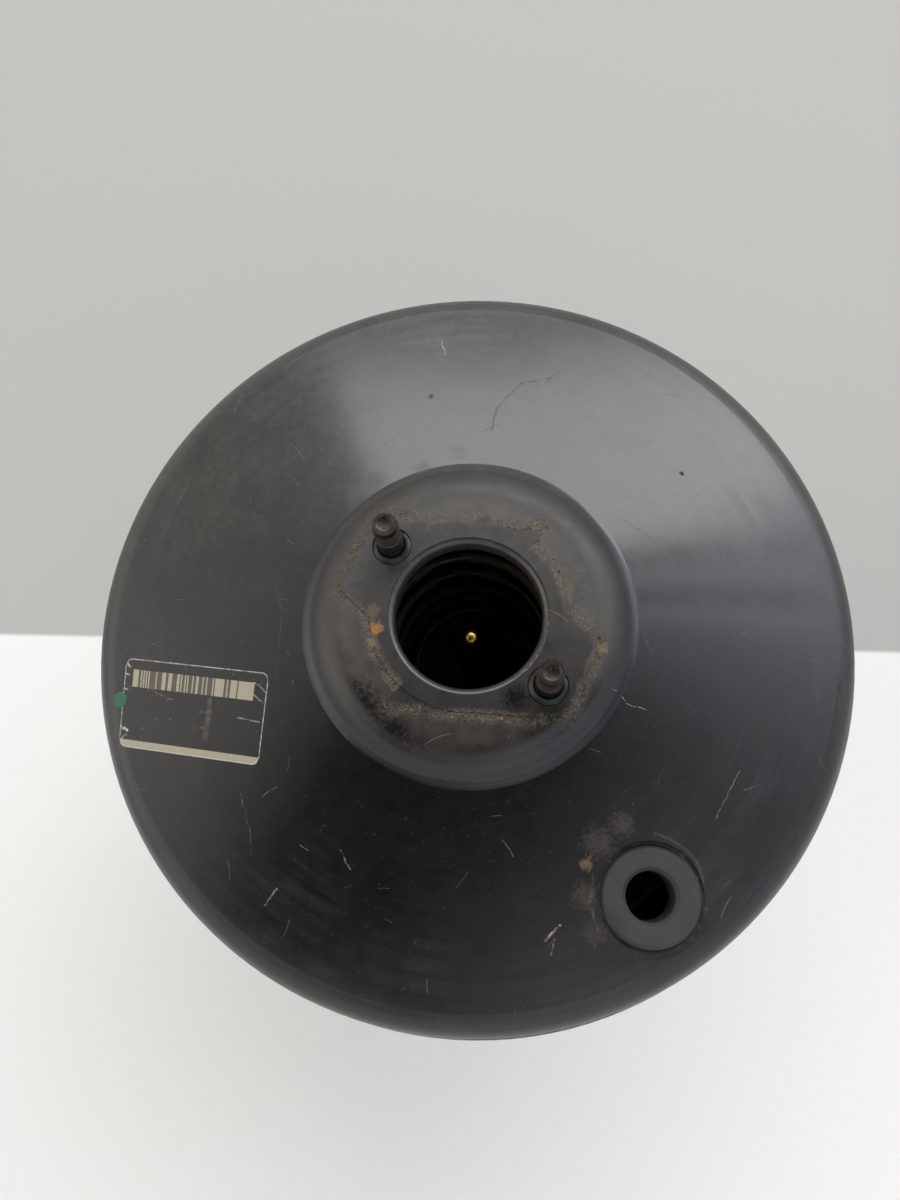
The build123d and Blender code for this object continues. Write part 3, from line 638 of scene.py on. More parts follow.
@dataclass(frozen=True)
class FrontEnamelFinish(EnamelFinish):
    """The front shell's enamel: dusty above, with the dirty outline of the flange it carried."""

    stud_angle: float = 136.9
    pad_radius: float = 29.5
    pad_faces: tuple = ((0, 1, 0, 21.0), (0.952, 0.305, 0, 39.7), (0.618, -0.786, 0, 29.7))
    dirt: str = "#5b5140"
    crust: tuple[tuple[float, str], ...] = (
        (0.0, "#2b241c"),
        (0.35, "#514634"),
        (0.65, "#6d6048"),
        (1.0, "#8b7d5f"),
    )
    boss_radius: float = 46.0
    boss_roughness: float = 0.37
    # heights on the face between which dust thickens, on the cone and on the boss
    cone_dust: Corner = (-25.0, 70.0)
    boss_dust: tuple[float, ...] = (-34.0, 12.0, 0.15, 1.15)
    pad_rim: Corner = (44.0, 33.0)
    film_share: float = 0.075
    pit_share: float = 0.2
    blemishes: tuple[Blemish, ...] = (
        Blemish(-28.1, -4.2, 3.3, "#98672a", 1.0),
        Blemish(-29.5, -8.5, 2.6, "#786845", 0.8),
        Blemish(-28.9, 1.5, 3.2, "#5f4a2c", 0.8),
        Blemish(40.2, -11.0, 3.0, "#7a6c4b", 0.75),
        Blemish(9.0, 33.0, 4.4, "#665c46", 0.6),
        Blemish(24.5, 22.5, 3.6, "#5d4d38", 0.65),
        Blemish(31.0, 8.0, 3.0, "#5e4a33", 0.6),
        Blemish(-30.5, 47.0, 6.5, "#2f2924", 0.15),
        Blemish(-37.5, 42.0, 5.0, "#2f2924", 0.12),
        Blemish(-14.5, 50.5, 6.0, "#2f2924", 0.15),
        Blemish(-3.0, 57.0, 5.0, "#3a3530", 0.13),
        # painted shade: near-black glossy patches, most of them on the lower side of the boss rim
        Blemish(-35.0, -29.3, 15.0, "#0b0b0c", 0.85, True),
        Blemish(-24.0, -38.0, 12.0, "#0b0b0c", 0.8, True),
        Blemish(13.7, -25.5, 7.0, "#0b0b0c", 0.8, True),
        Blemish(27.8, -39.3, 15.0, "#0b0b0c", 0.85, True),
        Blemish(39.0, -26.2, 10.0, "#0b0b0c", 0.7, True),
        Blemish(37.5, -67.0, 8.5, "#5a4d45", 0.3),
        Blemish(45.0, -62.0, 6.5, "#5b5048", 0.28),
        Blemish(34.0, -73.0, 3.4, "#8a7340", 0.5),
        Blemish(33.5, -82.0, 7.5, "#574a42", 0.3),
        Blemish(36.0, -92.0, 6.5, "#564a44", 0.26),
        Blemish(69.6, 49.5, 1.5, "#1d1a18", 0.9),
        Blemish(-12.5, 79.0, 1.8, "#2c2826", 0.6),
    )
    strokes: tuple[Stroke, ...] = (
        Stroke(((8.0, 64.9), (9.7, 73.5), (17.6, 83.0), (28.9, 85.8)), 0.5, "#54382d", 0.75),
        Stroke(((26.1, 83.4), (33.0, 89.5)), 0.35, "#54382d", 0.6),
        Stroke(((49.0, 32.5), (62.0, 23.0), (66.0, 14.0), (77.0, 0.0)), 0.25, "#3b3a3c", 0.6),
        Stroke(((21.3, -94.2), (25.7, -90.1)), 0.45, "#b09d86", 0.8),
        Stroke(((22.6, -98.3), (24.0, -94.0)), 0.3, "#a8927c", 0.7),
        Stroke(((-70.0, -52.0), (-66.5, -63.3), (-66.0, -70.0)), 0.16, "#8b887f", 0.3),
        Stroke(((-61.2, -84.8), (-57.5, -80.0)), 0.3, "#b7b3aa", 0.6),
        Stroke(((-38.7, -69.1), (-35.6, -74.8)), 0.25, "#a09a8e", 0.6),
        Stroke(((-60.0, -18.2), (-59.0, 2.0), (-61.0, 10.7)), 0.3, "#4d4335", 0.5),
        Stroke(((72.2, -60.6), (80.6, -46.1)), 0.16, "#a9a8a5", 0.5),
        Stroke(((-10.0, 103.0), (-7.5, 96.0)), 0.3, "#a9a39a", 0.6),
        Stroke(((42.8, -22.4), (45.0, -23.2), (47.1, -26.8), (53.1, -28.5)), 0.13, "#b9b7b2", 0.7),
        Stroke(
            ((53.9, -64.3), (58.5, -66), (63.1, -68.9), (66.2, -72.5), (67.7, -77), (67.5, -81.2)),
            0.55,
            "#6d6c70",
            0.35,
            True,
        ),
        Stroke(((35.5, -76.0), (34.6, -84.0), (36.5, -91.5)), 0.5, "#6d5a44", 0.5),
    )

    def material(self) -> bpy.types.Material:
        """Build the material.

        Returns:
            The material.
        """
        recipe = self.recipe()
        dull = self.coat(recipe)
        reach, radius = recipe.reach, self.boss_radius
        up = recipe.add("SeparateXYZ", (recipe.flat,), 1)
        upper = recipe.add("MapRange", (up, *self.cone_dust), **SMOOTH)
        top = recipe.add("MapRange", (up, *self.boss_dust))
        boss = recipe.add("MapRange", (reach, radius + 4, radius - 4))
        pad = recipe.add("MapRange", (reach, *self.pad_rim), **SMOOTH)
        patchy = recipe.cloud(16.0, 0.25, 0.75, 7.0)
        # dust settled on the part that faced up, and was rubbed to an even grey film on the boss
        film = (upper | boss * top) * (0.45 + patchy.free) * self.film_share
        film = film * (0.85 + recipe.cloud(2.6, 0.3, 0.7, 8.0).free)
        film = film + pad * (0.5 + recipe.cloud(7.0, 0.3, 0.7, 8.0).free) * self.film_share
        recipe.lay(self.dust, film)
        # the outer part of the boss has lost more of its gloss than the cone
        inner = recipe.add("MapRange", (reach, radius - 16, radius - 3), **SMOOTH)
        outer = recipe.add("MapRange", (reach, radius + 5, radius + 1), **SMOOTH)
        blotches = recipe.add("MapRange", (patchy, 0.0, 1.0, 0.5, 1.05))
        matt = inner * outer * top * blotches
        pits = recipe.cloud(1.9, 0.64, 0.72, 11.0) * recipe.cloud(26.0, 0.45, 0.62, 12.0)
        dull = dull + film * 0.25 + matt * self.boss_roughness + pits * upper * self.pit_share
        dirty = self.imprint(recipe, boss)
        kept: object = 1.0
        for blemish in self.blemishes:
            spot = blemish.mask(recipe)
            recipe.lay(blemish.colour, spot)
            # a patch of painted shade keeps the gloss that the dust film would take
            if blemish.wiped:
                kept = kept * (1.0 - spot)
            else:
                dirty = dirty | spot
        for stroke in self.strokes:
            line = stroke.mask(recipe, recipe.flat if stroke.smooth else recipe.wavy)
            recipe.lay(stroke.colour, line)
            dirty = dirty | line * 0.6
        return self.glossed(recipe, (dull + dirty * 0.8) * kept)

    def imprint(self, recipe: Recipe, boss: Value) -> Value:
        """Lay dirt round the flange that was bolted on: a haze outside it, a crust along its edge.

        Args:
            recipe: the recipe.
            boss: mask of the boss.

        Returns:
            The dirt's mask.
        """
        edge = self.outline_distance(recipe)
        wander = recipe.cloud(5.0, 0.2, 0.8, 6.0)
        off = (edge - wander * 4.0).maths("ABSOLUTE")
        outside = recipe.add("MapRange", (edge, -0.5, 3.5))
        haze = outside * boss * (wander + 0.1) * 0.2
        broken, fine = recipe.cloud(8.0, 0.34, 0.6, 7.0), recipe.cloud(0.6, 0.36, 0.6, 5.0)
        ridge = recipe.add("MapRange", (off, 2.8, 0.8)) * broken * fine
        tone = recipe.cloud(0.9, 0.36, 0.68, 3.0)
        recipe.lay(self.dirt, haze)
        recipe.lay(recipe.add("ValToRGB", (tone,), stops=self.crust), ridge * 0.85)
        return haze | ridge

    def outline_distance(self, recipe: Recipe) -> Value:
        """Distance outside the outline of the flange that was bolted on.

        Args:
            recipe: the recipe.

        Returns:
            The distance in millimetres, negative inside the outline.
        """
        turn = {"Vector": recipe.flat, "Angle": -math.radians(self.stud_angle)}
        lined = recipe.add("VectorRotate", turn, rotation_type="Z_AXIS")
        sign = recipe.add("SeparateXYZ", (lined,)).free.maths("SIGN")
        folded = recipe.add("VectorMath", {0: lined, "Scale": sign}, operation="SCALE")
        arm: object = -100.0
        for *normal, reach in self.pad_faces:
            along = recipe.add("VectorMath", (folded, normal), "Value", operation="DOT_PRODUCT")
            arm = (along.free - reach).maths("SMOOTH_MAX", arm, 5.0)
        return (recipe.reach - self.pad_radius).maths("SMOOTH_MIN", arm, 3.0)


@dataclass(frozen=True)
class PaintedStudFinish:
    """Rolled steel stud dipped in the shell's enamel: black at its foot, rusty on its thread."""

    name: str
    enamel: str = "#0c0c0e"
    steel: str = "#423d38"
    rust: str = "#2c2018"
    paint_top_mm: float = 120.6
    band_top_mm: float = 123.4
    thread_top_mm: float = 129.0

    def material(self) -> bpy.types.Material:
        """Build the material.

        Returns:
            The material.
        """
        recipe = Recipe(self.name, self.steel)
        level = recipe.height + recipe.cloud(2.0, 0.2, 0.8, 4.0).free * (1.2 * MM)
        bare, on, off = (
            recipe.add("MapRange", (level, (height + start) * MM, (height + end) * MM))
            for height, start, end in (
                (self.paint_top_mm, 0, 0.7),
                (self.band_top_mm, 0, 0.8),
                (self.thread_top_mm, 1.2, 0.6),
            )
        )
        patches = recipe.cloud(1.4, 0.3, 0.6, 5.0)
        rusty = on * off * (patches + 0.35) | recipe.cloud(1.8, 0.52, 0.66, 5.0) * 0.5
        recipe.lay(self.rust, rusty)
        recipe.lay(self.enamel, 1.0 - bare)
        return recipe.finish(
            (rusty * patches, 0.08),
            Metallic=bare * (1.0 - rusty * 0.85),
            Roughness=0.18 + bare * 0.1 + bare * rusty * 0.35,
        )


@dataclass(frozen=True)
class TippedRodFinish:
    """Output rod: its rounded tip polished brassy yellow; below it, near-black painted shade."""

    name: str
    shaft_shade: str = "#211f1d"
    tip: str = "#b9a552"
    smear: str = "#6f6431"
    shade_top_mm: float = 77.6
    roughness: float = 0.46
    polish: float = 0.26

    def material(self) -> bpy.types.Material:
        """Build the material.

        Returns:
            The material.
        """
        recipe = Recipe(self.name, self.tip, {"Metallic": 1.0})
        start = self.shade_top_mm * MM
        bare = recipe.add("MapRange", (recipe.height, start, start + 1.2 * MM))
        recipe.lay(self.smear, recipe.cloud(1.6, 0.35, 0.65) * 0.7)
        # painted shade: the shaft below the tip is laid near-black
        recipe.lay(self.shaft_shade, 1.0 - bare)
        grain = recipe.cloud(0.6, 0.2, 0.8, 2.0)
        return recipe.finish((grain, 0.01), Roughness=self.roughness - bare * self.polish)


@dataclass(frozen=True)
class GritFinish:
    """Dried road dirt: dull crumbs from dark brown to sandy."""

    name: str
    colours: tuple[tuple[float, str], ...] = (
        (0.0, "#2c241c"),
        (0.4, "#5b4931"),
        (0.7, "#7c6a45"),
        (1.0, "#9b8d67"),
    )

    def material(self) -> bpy.types.Material:
        """Build the material.

        Returns:
            The material.
        """
        recipe = Recipe(self.name, None, {"Roughness": 0.9, "Specular IOR Level": 0.25})
        tone = recipe.cloud(3.0, 0.3, 0.7, 2.0)
        recipe.colour = recipe.add("ValToRGB", (tone,), stops=self.colours)
        return recipe.finish((recipe.cloud(0.5, 0.3, 0.7, 3.0), 0.08))


@dataclass(frozen=True)
class LabelFinish:
    """Laminated polyester label: glossy black film with cream printing, worn through at its rim."""

    name: str
    width: float
    height: float
    bend: float
    film: str = "#1d1c1b"
    ink: str = "#a39c85"
    wear: str = "#c3c1bc"
    bars: tuple[float, float, float, float] = (3.0, 46.0, 3.2, 8.4)
    block_start: float = 40.5
    bar_pitch: float = 0.45
    bar_share: float = 0.48
    strip: float = 24.1
    roughness: float = 0.24
    tears: tuple[Stroke, ...] = (
        Stroke(((-0.2, 20.5), (2.6, 21.3)), 0.6, "#d8d6d0", 1.0),
        Stroke(((0.4, 24.3), (2.4, 22.8)), 0.4, "#c3c1bc", 0.8),
        Stroke(((0.0, 1.0), (1.6, 2.6)), 0.45, "#d8d6d0", 0.9),
        Stroke(((0.3, 4.8), (1.9, 5.0)), 0.35, "#c3c1bc", 0.9),
        Stroke(((0.2, 9.2), (2.8, 9.6)), 0.3, "#c3c1bc", 0.8),
        Stroke(((45.8, 3.2), (47.8, 3.9), (50.0, 5.6)), 0.25, "#b4b2ad", 0.9),
        Stroke(((45.6, 6.3), (47.5, 7.5), (50.0, 8.9)), 0.22, "#b4b2ad", 0.8),
        Stroke(((41.5, 13.7), (49.0, 14.2)), 0.25, "#b4b2ad", 0.8),
        Stroke(((31.2, 9.5), (31.4, 13.0), (30.9, 20.0)), 1.1, "#6f675b", 0.55),
        Stroke(((5.5, 5.5), (12.0, 9.5), (18.0, 11.0)), 0.16, "#98958d", 0.6),
    )

    def material(self) -> bpy.types.Material:
        """Build the material; its UV map is in millimetres.

        Returns:
            The material.
        """
        recipe = Recipe(self.name, self.film, {"IOR": 1.5, "Metallic": 0.0, "Coat Weight": 0.3})
        place = recipe.add("UVMap", uv_map="millimetres")
        across, down = recipe.add("SeparateXYZ", (place,)).of(0, 1)
        step = (across / self.bar_pitch).maths("FLOOR")
        luck = recipe.add("TexWhiteNoise", {"W": step}, "Value", noise_dimensions="1D")
        left, right, top, bottom = self.bars
        printed = (luck > self.bar_share) | (across > self.block_start)
        printed = (printed * 0.8 + 0.2) * (across > left) * (across < right)
        printed = printed * (down > top) * (down < bottom) | (down > self.strip)
        recipe.lay(self.ink, printed * (recipe.cloud(1.5, 0.1, 0.55, 5.0) + 0.45))
        worn = self.rim(recipe, across, down) * recipe.cloud(1.6, 0.25, 0.6, 5.0)
        worn = worn | recipe.cloud(2.2, 0.66, 0.7, 3.0) * 0.15
        recipe.lay(self.wear, worn)
        for tear in self.tears:
            torn = tear.mask(recipe, place)
            recipe.lay(tear.colour, torn)
            worn = worn | torn
        buckled = recipe.cloud(6.0, 0.2, 0.8, 2.0)
        rough = self.roughness + worn * 0.4
        return recipe.finish((buckled, 0.03), (worn, 0.02), Roughness=rough)

    def rim(self, recipe: Recipe, across: Value, down: Value) -> Value:
        """Narrow band along the label's rounded rim.

        Args:
            recipe: the recipe.
            across: distance from the left edge, in millimetres.
            down: distance from the upper edge.

        Returns:
            The band's mask.
        """
        corner = [
            (self.bend - spot.maths("MINIMUM", size - spot)) | 0.0
            for spot, size in ((across, self.width), (down, self.height))
        ]
        out = recipe.add("CombineXYZ", corner)
        length = recipe.add("VectorMath", (out,), "Value", operation="LENGTH").free
        return recipe.add("MapRange", (self.bend - length, 0.42, 0.12))


@dataclass(frozen=True)
class PaintDabFinish:
    """Inspector's dab of matt acrylic paint: green, thinner in patches."""

    name: str
    colour: str = "#2d6a50"
    thin: str = "#3c5f50"

    def material(self) -> bpy.types.Material:
        """Build the material.

        Returns:
            The material.
        """
        recipe = Recipe(self.name, self.colour, {"Roughness": 0.5, "IOR": 1.48})
        patches = recipe.cloud(1.5, 0.3, 0.7)
        recipe.lay(self.thin, patches)
        return recipe.finish((patches, 0.03))


# ------------------------------------------------------------------------------ mesh making
def rounded(corners: Sequence[Bend], steps: int = 5) -> list[Corner]:
    """Round the corners of a line.

    Args:
        corners: (radius, height, radius of the bend) in millimetres; a bend of 0 stays sharp.
        steps: spans in each rounded corner.

    Returns:
        The line with arcs in place of its rounded corners.
    """
    line: list[Corner] = []
    for index, (*corner, bend) in enumerate(corners):
        here = Vector(corner)
        if bend <= 0 or index in (0, len(corners) - 1):
            line.append(tuple(here))
            continue
        back = (Vector(corners[index - 1][:2]) - here).normalized()
        ahead = (Vector(corners[index + 1][:2]) - here).normalized()
        half = math.acos(max(-1.0, min(1.0, back.dot(ahead)))) / 2
        reach = bend / math.tan(half)
        centre = here + (back + ahead).normalized() * (bend / math.sin(half))
        start, end = here + back * reach - centre, here + ahead * reach - centre
        sweep = start.angle_signed(end)
        for step in range(steps + 1):
            turn = -sweep * step / steps
            cos, sin = math.cos(turn), math.sin(turn)
            spoke = Vector((start.x * cos - start.y * sin, start.x * sin + start.y * cos))
            line.append(tuple(centre + spoke))
    return line


def thickened(line: Sequence[Corner], wall: float) -> list[Corner]:
    """Close a line into a wall's outline.

    Args:
        line: one face of the wall, as (radius, height) points.
        wall: thickness, to the right of the line's direction.

    Returns:
        The closed outline.
    """
    other: list[Corner] = []
    for index, point in enumerate(line):
        before = Vector(line[max(0, index - 1)])
        after = Vector(line[min(len(line) - 1, index + 1)])
        along = (after - before).normalized()
        other.append((point[0] + along.y * wall, point[1] - along.x * wall))
    return list(line) + other[::-1]


def object_from(name: str, verts: list, faces: list, sharp_deg: float = 35.0) -> bpy.types.Object:
    """Make a smooth-shaded object from vertices in metres and faces.

    Args:
        name: name of the piece.
        verts: vertex positions.
        faces: vertex numbers of each face.
        sharp_deg: edges that turn more than this stay crisp.

    Returns:
        The object, linked to the scene.
    """
    mesh = bpy.data.meshes.new(name)
    mesh.from_pydata(verts, [], faces)
    work = bmesh.new()
    work.from_mesh(mesh)
    bmesh.ops.recalc_face_normals(work, faces=work.faces)
    work.to_mesh(mesh)
    work.free()
    mesh.shade_smooth()
    mesh.set_sharp_from_angle(angle=math.radians(sharp_deg))
    piece = bpy.data.objects.new(name, mesh)
    bpy.context.scene.collection.objects.link(piece)
    return piece


def turned(
    name: str,
    outline: Sequence[tuple],
    segments: int = 96,
    closed: bool = True,
    pitch: float = 0.0,
    places: Sequence[Corner] = ((0.0, 0.0),),
) -> bpy.types.Object:
    """Turn an outline about the axis.

    Args:
        name: name of the piece.
        outline: (radius, height) points in millimetres, or (radius, height, thread depth).
        segments: faces round the axis.
        closed: join the last point to the first; an open outline starts and ends on the axis.
        pitch: thread pitch in millimetres, where points have a thread depth.
        places: (x, y) of the axis in millimetres, one for each copy.

    Returns:
        The turned piece.
    """
    verts, faces = [], []
    for at in places:
        rings = []
        for point in outline:
            count = 1 if point[0] < 1e-6 else segments
            ring = range(len(verts), len(verts) + count)
            rings.append([*ring])
            for segment in range(count):
                angle = math.tau * segment / segments
                reach = point[0] - thread_cut(point, segment / segments, pitch)
                x, y = at[0] + reach * math.cos(angle), at[1] + reach * math.sin(angle)
                verts.append((x * MM, y * MM, point[1] * MM))
        pairs = list(zip(rings, rings[1:])) + ([(rings[-1], rings[0])] if closed else [])
        for low, high in pairs:
            for segment in range(segments):
                after = (segment + 1) % segments
                corners = [low[segment % len(low)], low[after % len(low)]]
                corners += [high[after % len(high)], high[segment % len(high)]]
                unique = list(dict.fromkeys(corners))
                if len(unique) > 2:
                    faces.append(unique)
    return object_from(name, verts, faces)


def thread_cut(
    point: tuple, share: float, pitch: float, crest: float = 0.12, flank: float = 0.63
) -> float:
    """How far a thread's groove cuts in.

    Args:
        point: (radius, height) or (radius, height, thread depth) in millimetres.
        share: share of a full turn.
        pitch: thread pitch in millimetres.
        crest: share of half a pitch that the flat crest takes.
        flank: share that the flank takes.

    Returns:
        The cut in millimetres, 0 on a plain point.
    """
    if len(point) < 3:
        return 0.0
    phase = (point[1] / pitch - share) % 1.0
    return point[2] * min(1.0, max(0.0, (abs(phase - 0.5) * 2 - crest) / flank))


def coil(
    name: str,
    radius: float,
    wire: float,
    turns: float,
    low: float,
    high: float,
    sides: int = 14,
    per_turn: int = 56,
    crowding: float = 0.055,
) -> bpy.types.Object:
    """Wind a compression spring of round wire with closed ends.

    Args:
        name: name of the piece.
        radius: mean radius of the coils, in millimetres.
        wire: diameter of the wire.
        turns: number of turns.
        low: height of the lowest point.
        high: height of the highest point.
        sides: faces round the wire.
        per_turn: spans in each turn.
        crowding: how far the coils crowd together at both ends.

    Returns:
        The spring.
    """
    count = round(turns * per_turn)
    rise = high - low - wire
    verts, faces = [], []
    for step in range(count + 1):
        turn = step / per_turn
        angle = math.tau * turn
        share = turn / turns
        lead = rise * (share - crowding * math.sin(math.tau * share))
        out = Vector((math.cos(angle), math.sin(angle), 0))
        slope = rise / turns / (math.tau * radius)
        along = Vector((-math.sin(angle), math.cos(angle), slope)).normalized()
        middle = out * radius + Vector((0, 0, low + wire / 2 + lead))
        up = along.cross(out)
        for side in range(sides):
            round_angle = math.tau * side / sides
            spoke = (out * math.cos(round_angle) + up * math.sin(round_angle)) * (wire / 2)
            verts.append(tuple((middle + spoke) * MM))
    for step in range(count):
        for side in range(sides):
            after = (side + 1) % sides
            base, ahead = step * sides, (step + 1) * sides
            faces.append((base + side, base + after, ahead + after, ahead + side))
    faces.append(tuple(range(sides))[::-1])
    faces.append(tuple(count * sides + side for side in range(sides)))
    return object_from(name, verts, faces, 50.0)


def steps_between(low: float, high: float, step: float) -> list[float]:
    """Heights from low to high, no further apart than step."""
    count = max(1, math.ceil(abs(high - low) / step))
    return [low + (high - low) * index / count for index in range(count + 1)]


def dress(piece: bpy.types.Object, material: bpy.types.Material) -> None:
    """Give a piece one material in all its slots.

    Args:
        piece: the piece.
        material: its material.
    """
    if not piece.material_slots:
        piece.data.materials.append(material)
    for slot in piece.material_slots:
        slot.material = material


@dataclass
class Maker:
    """Makes finishes once, and puts pieces on their bodies."""

    finishes: dict[str, bpy.types.Material] = field(default_factory=dict)

    def finish(self, kind: object) -> bpy.types.Material:
        """Make a finish's material the first time that it is asked for.

        Args:
            kind: the finish.

        Returns:
            Its material.
        """
        if kind.name not in self.finishes:
            self.finishes[kind.name] = kind.material()
        return self.finishes[kind.name]

    def carried_over(self, node: str, kind: object) -> None:
        """Dress a CAD node that stays in view."""
        dress(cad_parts[node], self.finish(kind))
        log.info("%s: CAD node in %s", node, kind.name)

    def placed(
        self, piece: bpy.types.Object, kind: object, slot: str, body: Body, *nodes: str
    ) -> bpy.types.Object:
        """Dress a new piece, and put it on its body in place of its CAD nodes.

        Args:
            piece: the new piece.
            kind: its finish.
            slot: not used.
            body: body that it rides on.
            nodes: CAD nodes that it stands for.

        Returns:
            The piece.
        """
        dress(piece, self.finish(kind))
        if nodes:
            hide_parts(*nodes)
        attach(piece, body.value)
        log.info("%s: %d faces in %s", piece.name, len(piece.data.polygons), kind.name)
        return piece

    def stretched(
        self,
        piece: bpy.types.Object,
        kind: object,
        node: str,
    ) -> None:
        """Dress a new piece that reaches between two bodies, hide its CAD node and bake its place.

        Args:
            piece: the new piece.
            kind: its finish.
            node: CAD node that it stands for.
        """
        dress(piece, self.finish(kind))
        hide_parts(node)
        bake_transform(piece)
        log.info("%s: %d faces in %s", piece.name, len(piece.data.polygons), kind.name)


# ------------------------------------------------------------------------------ stage
@dataclass
class Stage:
    """Pale floor, soft lights and the camera."""

    camera_at: tuple = (8.311, -71.638, 385.14)
    camera_right: tuple = (0.99872, 0.0, -0.05058)
    camera_up: tuple = (0.01356, 0.96338, 0.26781)
    focal_px: float = 930.0
    frame_px: float = 1200.0
    sensor: float = 36.0
    floor_gap: float = 2.0
    floor_half: float = 4000.0
    floor_fade: tuple = (1.2, 3.6)
    tone_slope: tuple = (0.032, 1.0, 0.0)
    tone_line: float = 47.0
    near_floor: str = "#f8f7f4"
    far_floor: str = "#bebcb8"
    floor_grain: str = "#9c9c98"
    floor_glow: float = 0.06
    horizon: str = "#f8f8f8"
    left_tint: str = "#fffaf2"
    right_tint: str = "#f2f6ff"
    room_level: float = 0.085
    room_least: float = 0.03
    horizon_level: float = 0.62
    panel_middle: float = 0.405
    panel_pitch: float = 0.113
    panel_swing: float = 0.97
    softbox_at: tuple = (440, 1512, 2077)
    softbox_size: tuple = (2300, 855)
    softbox_radiance: float = 3.2
    softbox_aim: float = 80.0
    # each lobe: direction, brightness and how narrow it is
    room_lobes: tuple[tuple[float, ...], ...] = (
        (0.003, 0.577, 0.817, 1.5, 10.3),
        (-0.738, 0.013, 0.674, 1.66, 9.5),
        (0.60, 0.40, 0.69, 2.55, 16.0),
        (-0.029, -0.032, 0.999, -1.33, 7.6),
        (0.214, -0.42, 0.882, 1.21, 6.1),
        (-0.36, -0.23, 0.905, -0.32, 80.0),
    )

    def build(self) -> None:
        """Make the camera, the world, the floor and the lights."""
        self.camera()
        self.world()
        self.floor()
        self.softbox()
        bpy.context.scene.view_settings.view_transform = "Standard"

    def camera(self) -> None:
        """Put the camera where its three axes say."""
        data = bpy.data.cameras.new("camera")
        data.sensor_width = self.sensor
        data.lens = self.focal_px / self.frame_px * self.sensor
        data.clip_start, data.clip_end = 0.01, 50.0
        camera = bpy.data.objects.new("camera", data)
        bpy.context.scene.collection.objects.link(camera)
        right, up = Vector(self.camera_right), Vector(self.camera_up)
        back = right.cross(up)
        turn = camera.matrix_world.to_3x3()
        for column, axis in enumerate((right, up, back)):
            turn.col[column] = axis.normalized()
        camera.rotation_mode = "QUATERNION"
        camera.rotation_quaternion = turn.to_quaternion()
        camera.location = Vector(self.camera_at) * MM
        bpy.context.scene.camera = camera

    def world(self) -> None:
        """Soft room: bright above the object's far side and at its sides, dark over the camera."""
        world = bpy.data.worlds.new("studio")
        world.use_nodes = True
        bpy.context.scene.world = world
        tree = world.node_tree
        tree.nodes.clear()
        where = add_node(tree, "TexCoord", out="Generated")
        level: object = self.room_level
        for *towards, brightness, narrowness in self.room_lobes:
            inputs = (where, towards)
            facing = add_node(tree, "VectorMath", inputs, "Value", operation="DOT_PRODUCT").free
            shape = ((facing - 1.0) * narrowness).maths("EXPONENT")
            level = shape * brightness + level
        side, ahead, height = add_node(tree, "SeparateXYZ", (where,)).of(0, 1, 2)
        level = level * self.panels(side, ahead / height)
        low = add_node(tree, "MapRange", (height, 0.66, 0.38), **SMOOTH)
        level = (level | self.room_least) + low * self.horizon_level
        cool = add_node(tree, "MapRange", (side, -0.5, 0.5))
        colour = tinted(tree, self.left_tint, self.right_tint, cool)
        room = add_node(tree, "Background", {"Color": colour, "Strength": level})
        add_node(tree, "OutputWorld", (room,))

    def panels(self, side: Value, slant: Value) -> Value:
        """Bands of a ceiling of lit panels, at the right.

        Args:
            side: the direction's share to the right.
            slant: its share to the far side over its share upwards.

        Returns:
            The factor by which the bands change the room's brightness.
        """
        band = ((slant - self.panel_middle) * (math.tau / self.panel_pitch)).maths("COSINE")
        for span in ((slant, 0.22, 0.27), (slant, 0.53, 0.49), (side, 0.25, 0.36)):
            band = band * add_node(side.node.id_data, "MapRange", span)
        return band * self.panel_swing + 1.0

    def floor(self) -> None:
        """Pale floor under the object, greyer beyond a soft line behind it."""
        low = cad_low.z - self.floor_gap * MM
        half = self.floor_half * MM
        corners = [(-half, -half, low), (half, -half, low), (half, half, low), (-half, half, low)]
        floor = object_from("floor", corners, [(0, 1, 2, 3)])
        constants = {"Roughness": 0.85, "Specular IOR Level": 0.1}
        recipe = Recipe("matt_painted_floor", self.near_floor, constants)
        slope = (recipe.where, self.tone_slope)
        depth = recipe.add("VectorMath", slope, "Value", operation="DOT_PRODUCT")
        ends = (self.tone_line * MM, (self.tone_line + 3) * MM)
        recipe.lay(self.far_floor, recipe.add("MapRange", (depth, *ends), **SMOOTH))
        recipe.lay(self.floor_grain, recipe.cloud(3.0, 0.2, 0.8, 5.0) * 0.05)
        reach = recipe.add("VectorMath", (recipe.where,), "Value", operation="LENGTH")
        fade = recipe.add("MapRange", (reach, *self.floor_fade), **SMOOTH)
        # a ray that shows the background: seen directly, mirrored or through glass
        path = recipe.add("LightPath")
        camera, glossy, through = (
            replace(path, out=f"Is {kind} Ray") for kind in ("Camera", "Glossy", "Transmission")
        )
        glow = (camera + glossy + through) * self.floor_glow
        glow = glow + fade * (self.room_level + self.horizon_level)
        far = tinted(recipe.tree, recipe.colour, self.horizon, fade)
        recipe.lay("#000000", fade)
        dress(floor, recipe.finish(Emission_Color=far, Emission_Strength=glow))

    def softbox(self) -> None:
        """Hang a softbox that faces the object."""
        data = bpy.data.lights.new("key_softbox", "AREA")
        data.shape = "RECTANGLE"
        data.size, data.size_y = (side * MM for side in self.softbox_size)
        data.energy = self.softbox_radiance * math.pi * data.size * data.size_y
        lamp = bpy.data.objects.new("key_softbox", data)
        bpy.context.scene.collection.objects.link(lamp)
        lamp.visible_camera = False
        lamp.location = Vector(self.softbox_at) * MM
        lamp.rotation_mode = "QUATERNION"
        aim = Vector((self.softbox_at[0], 0, self.softbox_aim)) - Vector(self.softbox_at)
        lamp.rotation_quaternion = aim.to_track_quat("-Z", "Y")


